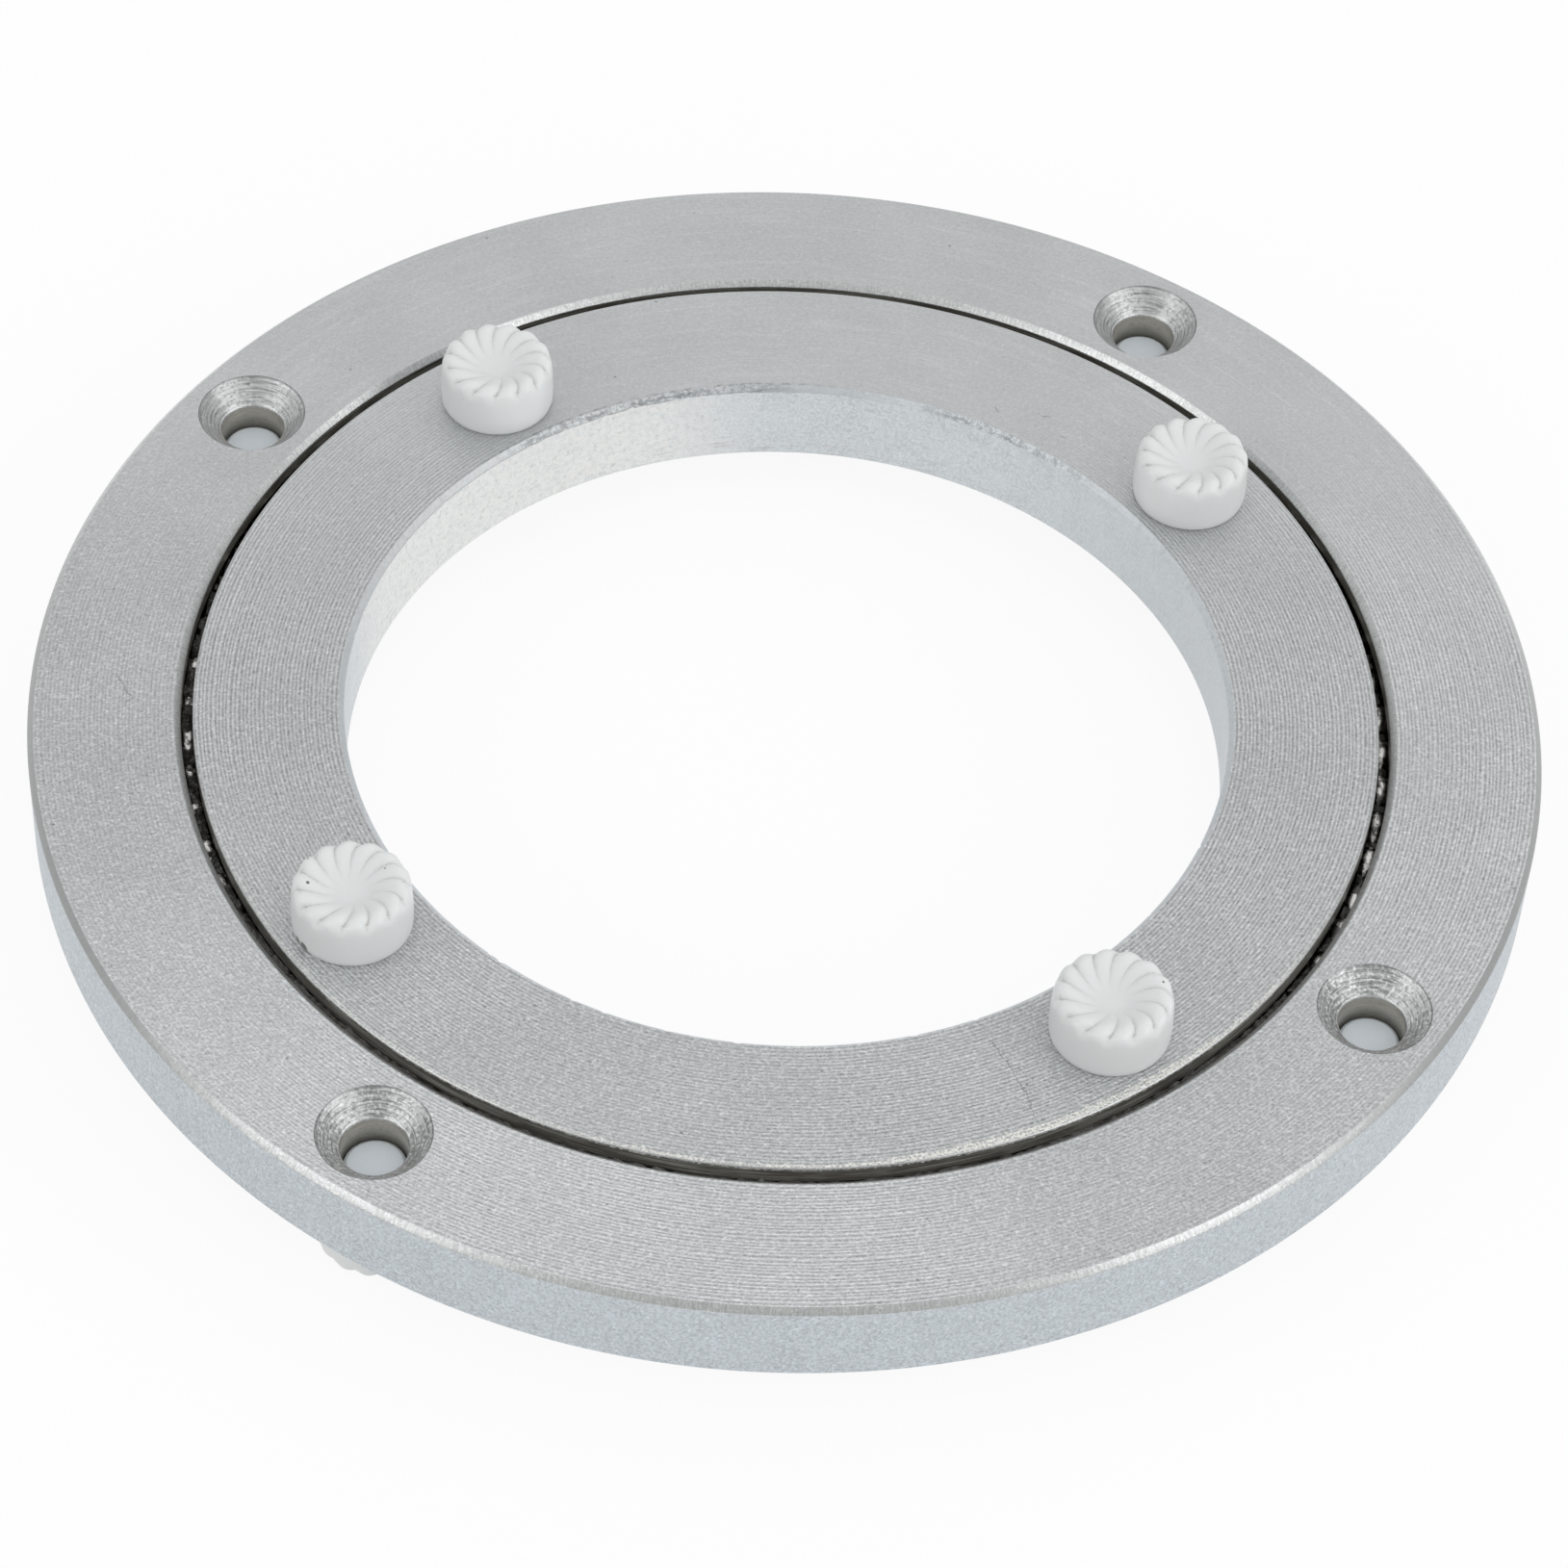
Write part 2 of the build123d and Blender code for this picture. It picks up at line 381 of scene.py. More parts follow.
def turned_face(name, colour, scratches, inner):
    """Fine concentric tool lines on satin aluminium, with grain, small pits and a few scratches."""
    f = Finish(name, colour)
    lines = tool_lines(f, inner)
    front = f.ramp(f.y, -15.0, 45.0, 1.0, 0.3)
    grain = f.ramp(f.noise(f.place, 3.2, 3.0, 0.75), 0.32, 0.68, -1.0, 1.0)
    rough = f.times(grain, front)
    speck = f.noise(f.place, 2.3, 1.0)
    glints = f.times(f.ramp(speck, 0.64, 0.72), front)
    dull = f.times(f.ramp(speck, 0.28, 0.36, 1.0, 0.0), front)
    texture = f.plus(f.times(lines, 0.25), f.times(rough, 0.2))
    texture = f.plus(texture, f.times(f.minus(glints, dull), 0.22))
    # the level of the face holds random tone and painted light
    f.base = f.vectors("SCALE", colour, scale=f.plus(texture, face_tone_and_light(f, inner)))
    # painted highlight on the gap's edge, and a scuff at the bore
    if inner:
        edge_highlight_and_scuff(f)
    shift = f.vectors("SUBTRACT", f.noise(f.place, 1.1, output="Color"), (0.5, 0.5, 0.5))
    marks = f.any_of([f.scratch(start, end, SCRATCH_WIDTH, shift) for start, end in scratches])
    f.lay(f.times(marks, 0.55), 0.3)
    cells = f.add("ShaderNodeTexVoronoi", {"Vector": f.place, "Scale": 0.34}).outputs
    lot = f.add("ShaderNodeSeparateColor", {0: cells["Color"]}).outputs[0]
    rare = f.math("GREATER_THAN", lot, 0.6)
    pit = f.times(f.ramp(cells["Distance"], 0.03, 0.065, 1.0, 0.0), rare)
    f.lay(f.times(pit, 0.6), 0.3)
    f.bump(f.plus(f.times(lines, 0.5), rough), 0.03)
    return f.shade(0.42, metallic=0.85)


def blasted_wall(name, colour):
    """Frosted wall: an even fine grain with soft mottling, and small dark pits."""
    f = Finish(name, colour, 0.78)
    fine = f.noise(f.place, 3.4, 3.0, 0.75)
    glint = f.noise(f.place, 2.6, 1.0)
    cloud = f.noise(f.place, 0.35, 3.0, 0.6)
    f.lay(f.ramp(fine, 0.32, 0.68), 1.2)
    f.lay(f.times(f.ramp(cloud, 0.35, 0.7), 0.2), 1.2)
    f.lay(f.ramp(glint, 0.62, 0.72, 0.0, 0.4), 1.5)
    f.lay(f.ramp(glint, 0.25, 0.35, 0.4, 0.0), 0.6)
    f.bump(fine, 0.08)
    f.bump(cloud, 0.04)
    return f.shade(0.5, metallic=0.7)


def bore_edge(f, coarse):
    """The bore's chamfer at the back: painted shade makes it greyer and lies broken in the crease
    below it; a torn dark seam.
    """
    # painted shade: the chamfer greyer at the back
    bevel_shade = f.times(f.ramp(f.z, BEVEL_FOOT - 0.04, BEVEL_FOOT + 0.04), f.toward(140, 50, 25))
    f.lay(f.times(bevel_shade, 0.55), 0.74)
    # painted shade in the crease below the chamfer, broken by noise
    crease_shade = f.times(
        f.ramp(f.z, BEVEL_FOOT - 0.14, BEVEL_FOOT - 0.08),
        f.ramp(f.z, BEVEL_FOOT - 0.02, BEVEL_FOOT + 0.04, 1.0, 0.0),
    )
    broken = f.times(f.toward(135, 35, 16), f.ramp(coarse, 0.3, 0.6, 0.2, 0.75))
    f.lay(f.times(crease_shade, broken), 0.5)
    torn = f.plus(f.z, f.times(f.noise(f.place, 0.9, 3.0, 0.7), 1.1))
    seam = f.times(
        f.ramp(torn, TOP + 0.06, TOP + 0.2), f.ramp(torn, TOP + 0.28, TOP + 0.42, 1.0, 0.0)
    )
    seam = f.times(seam, f.ramp(f.noise(f.place, 0.45), 0.44, 0.56))
    flecks = f.ramp(f.noise(f.place, 2.0, 3.0, 0.75), 0.46, 0.58)
    flecks = f.times(flecks, f.ramp(f.z, BEVEL_FOOT - 0.3, BEVEL_FOOT + 0.1))
    worn = f.larger(f.toward(113, 14, 10), f.toward(60, 4, 12))
    worn = f.times(worn, f.larger(seam, f.times(flecks, 0.75)))
    f.lay(f.times(worn, 0.8), 0.4)


def mottled_bore(name, colour):
    """Frosted bore: painted light whiter and coarser at the back left, painted shade towards the
    right, brown streaks low down.
    """
    f = Finish(name, colour, 0.82)
    fine = f.noise(f.place, 3.2, 3.0, 0.7)
    cloud = f.noise(f.place, 0.35, 3.0, 0.6)
    coarse = f.noise(f.place, 1.9, 3.0, 0.75)
    left = f.toward(136, 20, 24)
    f.lay(f.ramp(fine, 0.3, 0.7), 1.1)
    f.lay(f.times(f.ramp(cloud, 0.35, 0.7), 0.35), 1.1)
    # painted light: whiter and coarser at the back left
    f.lay(f.times(left, f.ramp(coarse, 0.3, 0.62, 0.45, 1.0)), BORE_PAINTED_WHITE)
    dirt = f.ramp(f.noise(f.place, 1.7, 3.0, 0.75), 0.56, 0.7)
    f.lay(f.times(dirt, f.plus(f.times(left, 0.3), 0.1)), DUST)
    bore_edge(f, coarse)
    # painted shade: darker towards the right
    f.lay(f.ramp(f.x, 15.0, 36.0, 0.0, 0.5), 0.88)
    streak = f.streaks(f.angle, 7.0, f.z, 4.5, roughness=0.6)
    low = f.times(f.ramp(streak, 0.6, 0.68), f.ramp(f.z, LOW + 1.3, LOW + 3.3, 0.45, 0.0))
    f.lay(f.times(low, f.toward(92, 14)), BROWN_STREAK)
    f.bump(fine, 0.06)
    f.bump(coarse, 0.05)
    return f.shade(0.5, metallic=0.7)


def cut_edge(name, colour):
    """Chamfers: a brighter, frosted cut with short tool marks and sparkle, and painted shade at the
    far left and right of the outer rim.
    """
    f = Finish(name, colour, 0.92)
    marks = f.noise(f.vector(f.times(f.angle, 380.0), f.z, f.radius), 1.0, 2.0, 0.7)
    sparkle = f.noise(f.place, 4.0, 2.0, 0.7)
    f.lay(f.ramp(marks, 0.3, 0.7), 1.22)
    f.lay(f.ramp(sparkle, 0.3, 0.44, 0.5, 0.0), 0.55)
    f.lay(f.ramp(sparkle, 0.58, 0.68, 0.0, 0.6), 1.6)
    # painted shade: the outer rim's chamfer darker at its far left and far right
    shaded_ends = f.times(f.ramp(f.radius, 62.0, 65.0), f.larger(f.toward(195, 12), f.toward(345, 12)))
    f.lay(f.times(shaded_ends, 0.8), 0.72)
    f.bump(marks, 0.006)
    f.bump(sparkle, 0.02)
    return f.shade(0.33, metallic=0.8)


def countersink_finish(name, colour):
    """Countersink cone: short tool arcs all over, two speckled stretches of painted highlight, and
    a painted bright ring low down.
    """
    f = Finish(name, colour, 0.64)
    around, down = f.add("ShaderNodeSeparateXYZ", {0: f.uv}).outputs[:2]
    wander = f.ramp(f.noise(f.place, 0.02, 0.0), 0.3, 0.7, -0.3, 0.3)
    turn = f.plus(f.times(around, FULL_TURN), wander)
    # painted highlight: two bright stretches round the cone, the second fainter on the front right
    # hole
    highlight_patch = 0.0
    fainter = f.ramp(f.minus(f.x, f.y), 60.0, 85.0, 1.0, 0.15)
    for middle, spread, share in ((0.85, 0.45, 1.0), (2.25, 0.4, fainter)):
        toward = f.math("COSINE", f.minus(turn, middle))
        lit = f.ramp(toward, np.cos(spread) - 0.025, np.cos(spread) + 0.025)
        highlight_patch = f.plus(f.times(lit, share), highlight_patch)
    arcs = f.streaks(around, 9.0, down, 42.0, roughness=0.65)
    speckle = f.noise(f.place, 2.3, 2.0, 0.7)
    flecks = f.noise(f.place, 3.1, 1.0)
    near = f.ramp(f.y, -20.0, 30.0, 1.0, 0.2)
    f.lay(f.ramp(arcs, 0.34, 0.66), 1.09)
    f.lay(f.times(f.ramp(flecks, 0.56, 0.64), f.times(near, 0.65)), 1.7)
    f.lay(f.times(f.ramp(flecks, 0.36, 0.44, 1.0, 0.0), f.times(near, 0.6)), 0.36)
    shine = f.times(f.ramp(speckle, 0.42, 0.56, 0.3, 1.0), highlight_patch)
    f.lay(f.times(shine, 0.72), 1.24)
    f.lay(f.times(f.ramp(speckle, 0.36, 0.43, 0.5, 0.0), highlight_patch), 0.5)
    f.lay(f.ramp(arcs, 0.3, 0.4, 0.65, 0.0), 0.36)
    f.lay(f.ramp(down, 0.008, 0.026, 0.6, 0.0), 0.3)
    # painted highlight: a thin bright ring where the cone meets the drilled hole
    f.lay(f.ramp(down, 0.276, 0.284, 0.0, 0.5), 1.5)
    f.bump(f.times(speckle, f.plus(f.times(highlight_patch, 0.6), 0.4)), 0.06)
    f.bump(arcs, 0.06)
    return f.shade(0.42, metallic=0.85)


def drilled_finish(name, colour):
    """Wall of a screw hole: dull, with marks round it, and painted shade that darkens it towards
    the bottom.
    """
    f = Finish(name, colour, 0.75)
    marks = f.noise(f.vector(f.times(f.z, 6.0), f.times(f.x, 0.5), f.y), 1.0)
    spots = f.noise(f.place, 3.0, 3.0, 0.7)
    f.lay(marks, 1.25)
    f.lay(f.ramp(spots, 0.55, 0.7, 0.0, 0.5), 0.4)
    # painted shade: darker towards the bottom of the hole
    f.lay(f.ramp(f.z, LOW + 4.6, LOW + 6.1, 0.6, 0.0), 0.3)
    f.bump(marks, 0.03)
    return f.shade(0.42, metallic=0.7)


# Grease, steel and plastic


def grease_finish(name, colour):
    """Dark worked grease: wet, lumpy, with metal dust in it, and painted light that makes it
    lighter at the front.
    """
    f = Finish(name, colour)
    f.lay(f.ramp(f.noise(f.place, 9.0), 0.55, 0.75), 4.0)
    # painted light: lighter towards the front of the gap
    f.lay(f.ramp(f.y, -42.0, -25.0, 0.85, 0.0), 2.0)
    f.bump(f.noise(f.place, 1.6, 3.0, 0.6), 0.35)
    return f.shade(0.22, metallic=0.0, Specular_IOR_Level=0.7)


def greased_wall(name, colour, metal, bare_and_lit, highlit_edge=False):
    """Race and gap walls under brown grease with bare metal lines through it, and painted light and
    shade.
    """
    f = Finish(name, colour, 1.6)
    film = f.streaks(f.angle, 14.0, f.z, 0.8, 3.0, 0.6)
    lines = f.streaks(f.angle, 5.0, f.z, 7.0, roughness=0.6)
    # more bare metal also lightens the wall: painted light in the shaded gap
    f.lay(f.times(f.ramp(film, 0.4, 0.7, 0.3, 1.0), bare_and_lit), shaded(metal, 0.9))
    f.lay(f.times(f.ramp(lines, 0.5, 0.62), bare_and_lit), shaded(metal, 1.6))
    # painted light and shade by height: lighter deep in the gap, darker near its top
    f.base = f.vectors("SCALE", f.base, scale=f.ramp(f.z, TOP - 1.3, TOP - 0.3, 1.1, 0.62))
    f.base = f.vectors("MULTIPLY", f.base, GREASE_TINT)
    # painted highlight on a ragged burr along the front of the inner ring's top edge
    if highlit_edge:
        edge = f.plus(f.z, f.times(f.noise(f.place, 2.2, 3.0, 0.75), 0.9))
        edge = f.times(f.ramp(edge, TOP + 0.18, TOP + 0.3), f.ramp(f.y, -40.0, -5.0, 1.0, 0.0))
        f.lay(f.times(edge, 0.8), GREASED_BURR_HIGHLIGHT)
    f.bump(f.noise(f.place, 5.0), 0.04)
    return f.shade(0.34, metallic=0.15)


def steel_finish(name, colour):
    """Polished ball steel with smears of grease."""
    f = Finish(name, colour, 0.12)
    smear = f.noise(f.place, 0.9, 3.0, 0.65)
    f.lay(f.ramp(smear, 0.42, 0.6), 1.0)
    f.bump(smear, 0.05)
    return f.shade(0.16)


# Specks on the pads' crowns, and chips at a pad's foot drawn as spots of painted shade: each a
# place and a radius
PAD_SPECKS = (
    ((-41.3, -30.2, 19.3), 0.2),
    ((-37.1, -28.6, 19.1), 0.15),
    ((-34.7, -27.9, 19.5), 0.11),
    ((-41.6, -27.3, 19.3), 0.12),
    ((34.2, -36.0, 19.4), 0.13),
)
PAD_CHIP_SHADES = (
    ((-41.4, -33.55, 14.75), 0.58),
    ((-42.0, -32.75, 14.7), 0.45),
)
# bluish painted light on the stems, seen at the bottom of their holes
STEM_PAINTED_LIGHT = (0.75, 0.81, 0.86)
# colour of the specks, and of the painted shade in the chips
SPECK_AND_SHADE_COLOUR = (0.12, 0.11, 0.10)


def plastic_finish(name, colour, groove):
    """White moulded plastic, slightly translucent, with painted shade in the grooves, painted light
    on the stems and a few specks.
    """
    f = Finish(name, colour)
    groove_shade_share = f.add("ShaderNodeAttribute", attribute_name="groove").outputs["Fac"]
    specks_and_chip_shade = f.any_of(
        [f.spot(centre, radius) for centre, radius in PAD_SPECKS]
        + [f.spot(centre, radius, 1.0) for centre, radius in PAD_CHIP_SHADES]
    )
    on_stem = f.times(
        f.ramp(f.z, LOW + 0.05, LOW + 0.3), f.ramp(f.z, TOP - 0.3, TOP - 0.05, 1.0, 0.0)
    )
    f.lay(f.times(f.noise(f.place, 0.5), 0.3), 0.94)
    # painted shade in the grooves
    f.lay(f.times(groove_shade_share, 0.22), groove)
    # painted light: the stems bluer and lighter
    f.lay(on_stem, STEM_PAINTED_LIGHT)
    # dark specks, and painted shade for the chips at a pad's foot
    f.lay(specks_and_chip_shade, SPECK_AND_SHADE_COLOUR)
    f.bump(f.noise(f.place, 3.0), 0.012)
    return f.shade(
        0.34, metallic=0.0,
        Subsurface_Weight=0.45, Subsurface_Scale=0.9 * MM, Subsurface_Radius=(1.0, 0.95, 0.9),
    )


# Surfaces: grids of points, joined into one closed mesh a piece

MAP_UNIT = 10 * MM
CORNER_SHARE = 0.45


def rounded(corners, radius, steps=3):
    """An outline with each inner corner turned into a small parabola.

    The parabola runs from a point one radius before the corner to one radius after it, as
    (1 - t)^2 a + 2 t (1 - t) b + t^2 c. Returns the points and, for each stretch between two
    of them, the number of the outline's side that it lies on.
    """
    corners = np.array(corners, float)
    t = np.linspace(0, 1, steps + 1)[:, None]
    points, sides = [corners[:1]], []
    for number in range(1, len(corners) - 1):
        before, corner, after = corners[number - 1 : number + 2]
        to_before, to_after = np.linalg.norm(corner - before), np.linalg.norm(after - corner)
        reach = min(radius, min(to_before, to_after) * CORNER_SHARE)
        a = corner + (before - corner) / to_before * reach
        c = corner + (after - corner) / to_after * reach
        points.append((1 - t) ** 2 * a + 2 * t * (1 - t) * corner + t**2 * c)
        sides += [number - 1] * (1 + steps)
    points.append(corners[-1:])
    sides.append(len(corners) - 2)
    return np.concatenate(points), np.array(sides)


def chain_length(chain):
    """Length along an outline, from its first point to each of its points."""
    steps = np.linalg.norm(np.diff(chain, axis=0), axis=1)
    return np.concatenate([[0], np.cumsum(steps)])


def turned_grid(chain, angles, centre=(0.0, 0.0)):
    """A (radius, height) outline carried round an upright axis: x = r cos a, y = r sin a."""
    radius, height = np.asarray(chain).T
    x = centre[0] + np.outer(np.cos(angles), radius)
    y = centre[1] + np.outer(np.sin(angles), radius)
    grid = np.stack([x, y, np.broadcast_to(height, x.shape)], -1)
    along = chain_length(chain) / MAP_UNIT
    return grid, np.stack(np.meshgrid(angles / FULL_TURN, along, indexing="ij"), -1)


def grid_quads(rows, columns):
    """Corner numbers of the faces of a grid of points."""
    index = np.arange(rows * columns).reshape(rows, columns)
    around = [index[:-1, :-1], index[1:, :-1], index[1:, 1:], index[:-1, 1:]]
    return np.stack(around, -1).reshape(-1, 4)


def new_object(name, data):
    """An object in the scene for a mesh, a lamp or a camera."""
    made = bpy.data.objects.new(name, data)
    bpy.context.scene.collection.objects.link(made)
    return made


def make_piece(name, patches, finishes, body, replaced=(), reshape=None, attributes=None):
    """Joins grids into one closed mesh and makes it a piece that rides on its body.

    A patch is a grid of points, their places on the map and the finish of its faces: one
    number, or one for each column of faces. reshape moves the merged points, and attributes
    are values of a single patch's points.
    """
    points, faces, corners, looks = [], [], [], []
    start = 0
    for grid, uv, look in patches:
        rows, columns = grid.shape[:2]
        quads = grid_quads(rows, columns)
        points.append(grid.reshape(-1, 3))
        corners.append(uv.reshape(-1, 2)[quads.ravel()])
        faces.append(quads + start)
        looks.append(np.broadcast_to(look, (rows - 1, columns - 1)).ravel())
        start += rows * columns
    mesh = bpy.data.meshes.new(name)
    mesh.from_pydata(np.concatenate(points), [], np.concatenate(faces))
    layer = mesh.uv_layers.new(name="surface")
    layer.data.foreach_set("uv", np.concatenate(corners).astype(np.float32).ravel())
    mesh.polygons.foreach_set("material_index", np.concatenate(looks).astype(np.int32))
    for key, values in (attributes or {}).items():
        stored = mesh.attributes.new(key, "FLOAT", "POINT")
        stored.data.foreach_set("value", np.asarray(values, np.float32).ravel())
    for finish in finishes:
        mesh.materials.append(finish)
    close_mesh(mesh)
    if reshape is not None:
        place = np.empty(len(mesh.vertices) * 3)
        mesh.vertices.foreach_get("co", place)
        mesh.vertices.foreach_set("co", reshape(place.reshape(-1, 3)).ravel())
    smooth(mesh)
    piece = new_object(name, mesh)
    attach(piece, body)
    if replaced:
        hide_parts(*replaced)
    return piece


def close_mesh(mesh):
    """Merges seams and poles, and turns all faces outwards."""
    shape = bmesh.new()
    shape.from_mesh(mesh)
    bmesh.ops.remove_doubles(shape, verts=shape.verts, dist=MERGE_DISTANCE)
    bmesh.ops.recalc_face_normals(shape, faces=shape.faces)
    shape.to_mesh(mesh)
    shape.free()


def smooth(mesh):
    """Shades a mesh smooth, apart from its sharp edges."""
    mesh.shade_smooth()
    mesh.set_sharp_from_angle(angle=SMOOTH_ANGLE)
    mesh.update()


# Rings

SECTOR_STEPS = 40
PLAIN_STEPS = 250
FACE_STEPS = 10
HOLE_STEPS = 8
HALF_STRETCH = 7.5 * MM
EDGE_ROUND = 0.07 * MM
SHARP_CHAMFER = 0.1 * MM
SINK_BEVEL = 0.1 * MM
SINK_LIP = 0.06 * MM
SINK_RIPPLE = 0.008 * MM
RACE_CLEARANCE = 0.05 * MM
RACE_RELIEF = 0.4 * MM
FACE, WALL, EDGE, SINK, DRILLED, RACE = range(6)


def ring_angles(first_hole, half):
    """Angles round a ring: each quarter has a hole's stretch and then a plain stretch."""
    quarter = np.concatenate(
        [
            np.linspace(-half, half, SECTOR_STEPS, endpoint=False),
            np.linspace(half, np.pi / 2 - half, PLAIN_STEPS, endpoint=False),
        ]
    )
    angles = (first_hole + np.arange(HOLES)[:, None] * FULL_TURN / HOLES + quarter).ravel()
    return np.append(angles, angles[0] + FULL_TURN)


def stretch_outline(radii, half):
    """Closed path round a hole's stretch of ring, as (radius, angle from the hole)."""
    inner, outer = radii
    arc = np.linspace(-half, half, SECTOR_STEPS + 1)
    side = np.linspace(outer, inner, FACE_STEPS + 1)
    angle = np.concatenate(
        [arc[:-1], np.full(FACE_STEPS, half), arc[:0:-1], np.full(FACE_STEPS + 1, -half)]
    )
    radius = np.concatenate(
        [np.full(SECTOR_STEPS, outer), side[:-1], np.full(SECTOR_STEPS, inner), side[::-1]]
    )
    return radius, angle


def hole_directions(radii, hole_circle, half):
    """Directions from a hole's centre towards the points of that path."""
    radius, angle = stretch_outline(radii, half)
    return np.unwrap(np.arctan2(hole_circle * angle, radius - hole_circle))


def face_with_hole(radii, height, hole_circle, hole_angle, hole_radius, half, directions):
    """Flat face round a hole: straight lines, in radius and angle, from circle to outline.

    The share of the way grows as a power of 1.4, so the points gather at the hole.
    """
    radius, angle = stretch_outline(radii, half)
    x = hole_circle + hole_radius * np.cos(directions)
    y = hole_radius * np.sin(directions)
    share = np.linspace(0, 1, HOLE_STEPS + 1)[None, :] ** 1.4
    r = np.hypot(x, y)[:, None] * (1 - share) + radius[:, None] * share
    a = np.arctan2(y, x)[:, None] * (1 - share) + angle[:, None] * share + hole_angle
    grid = np.stack([r * np.cos(a), r * np.sin(a), np.full(r.shape, height)], -1)
    return grid, np.stack([a / FULL_TURN, r / MAP_UNIT], -1), FACE


def plain_face(radii, height, angles):
    """Flat face between two holes' stretches."""
    radius = np.linspace(*radii, FACE_STEPS + 1)
    chain = np.stack([radius, np.full(radius.shape, height)], -1)
    return (*turned_grid(chain, angles), FACE)


def ring_patches(faces, walls, hole_circle, first_hole, hole_outline, hole_looks):
    """All the grids of one ring: two walls, and both faces with their holes."""
    half = HALF_STRETCH / hole_circle
    angles = ring_angles(first_hole, half)
    directions = hole_directions(faces[0], hole_circle, half)
    patches = [(*turned_grid(chain, angles), looks) for chain, looks in walls]
    quarter = SECTOR_STEPS + PLAIN_STEPS
    for number in range(HOLES):
        hole_angle = first_hole + number * FULL_TURN / HOLES
        plain = angles[number * quarter + SECTOR_STEPS : (number + 1) * quarter + 1]
        for radii, height, edge in zip(faces, (RING_TOP, RING_BOTTOM), hole_outline[[0, -1], 0]):
            patches.append(plain_face(radii, height, plain))
            patches.append(
                face_with_hole(radii, height, hole_circle, hole_angle, edge, half, directions)
            )
        centre = hole_circle * np.array([np.cos(hole_angle), np.sin(hole_angle)])
        grid, uv = turned_grid(hole_outline, directions + hole_angle, centre)
        patches.append((grid, uv, hole_looks))
    return patches


def countersink_outline(mouth, from_top):
    """Outline of a countersunk hole, with small steps that the tool left on the cone.

    The steps are two sine waves down the cone, 6.3 and 10.1 to its length, which fade at its
    ends. Returns the points, down the ring, and the finish of each stretch between them.
    """
    depth = mouth - HOLE_RADIUS - SINK_BEVEL
    low = RING_TOP - depth - SINK_LIP - 1.6 * SINK_BEVEL
    share = np.linspace(0, 1, 41)
    waves = np.sin(share * FULL_TURN * 6.3) + 0.7 * np.sin(share * FULL_TURN * 10.1 + 1.0)
    steps = SINK_RIPPLE * waves * np.sin(share * np.pi) ** 0.5
    cone_z = RING_TOP - depth * share - SINK_LIP + steps
    cone = np.stack([mouth - depth * share - steps, cone_z], -1)
    drilled = [(HOLE_RADIUS, low), (HOLE_RADIUS, RING_BOTTOM)]
    outline = np.concatenate([[(mouth + SINK_LIP, RING_TOP)], cone, drilled])
    looks = np.full(len(outline) - 1, SINK)
    looks[-2:] = EDGE, DRILLED
    if not from_top:
        outline[:, 1] = RING_TOP + RING_BOTTOM - outline[:, 1]
        return outline[::-1], looks[::-1]
    return outline, looks


def race_mouth(sizes):
    """Half height of the V race in a gap wall: its 45 degree walls stay clear of the balls."""
    return (sizes.ball_radius + RACE_CLEARANCE) * np.sqrt(2) - sizes.gap / 2


def race_corners(gap_radius, into, sizes):
    """Corners of the V race in a gap wall, from the top."""
    mouth = race_mouth(sizes)
    floor = mouth - RACE_RELIEF
    return [
        (gap_radius, RING_MIDDLE + mouth),
        (gap_radius + into * floor, RING_MIDDLE + RACE_RELIEF),
        (gap_radius + into * floor, RING_MIDDLE - RACE_RELIEF),
        (gap_radius, RING_MIDDLE - mouth),
    ]


def ring_wall(radius, into, chamfers, race, looks):
    """Rounded outline of one wall, from its top, and the finish of each of its stretches.

    into is 1 or -1, the way from the wall into the ring. The chamfers are the top edge's and
    the bottom edge's.
    """
    top, bottom = chamfers
    corners = [
        (radius + into * top, RING_TOP),
        (radius, RING_TOP - top),
        *race,
        (radius, RING_BOTTOM + bottom),
        (radius + into * bottom, RING_BOTTOM),
    ]
    chain, sides = rounded(corners, EDGE_ROUND)
    return chain, np.array(looks)[sides]


def ring_shape(gap_radius, far_radius, gap_chamfers, far_chamfers, far_looks, sizes):
    """The (inner, outer) radii of a ring's top face and bottom face, and its two walls."""
    into = 1 if far_radius > gap_radius else -1
    faces = [
        sorted((gap_radius + into * near, far_radius - into * far))
        for near, far in zip(gap_chamfers, far_chamfers)
    ]
    race = race_corners(gap_radius, into, sizes)
    walls = [
        ring_wall(gap_radius, into, gap_chamfers, race, [EDGE, *[RACE] * 5, EDGE]),
        ring_wall(far_radius, -into, far_chamfers, [], far_looks),
    ]
    return faces, walls


# Stretches of the bore's edge with nicks: two angles and the count between them
NICKED = (
    (np.radians(98), np.radians(130), 34),
    (np.radians(52), np.radians(76), 20),
    (-np.pi, np.pi, 30),
)
NICK_WIDTH = 0.28 * MM
NICK_DEPTH = 0.13 * MM
NICK_REACH = 0.22 * MM
NICK_FALL = 0.6
NICK_SEED = 7


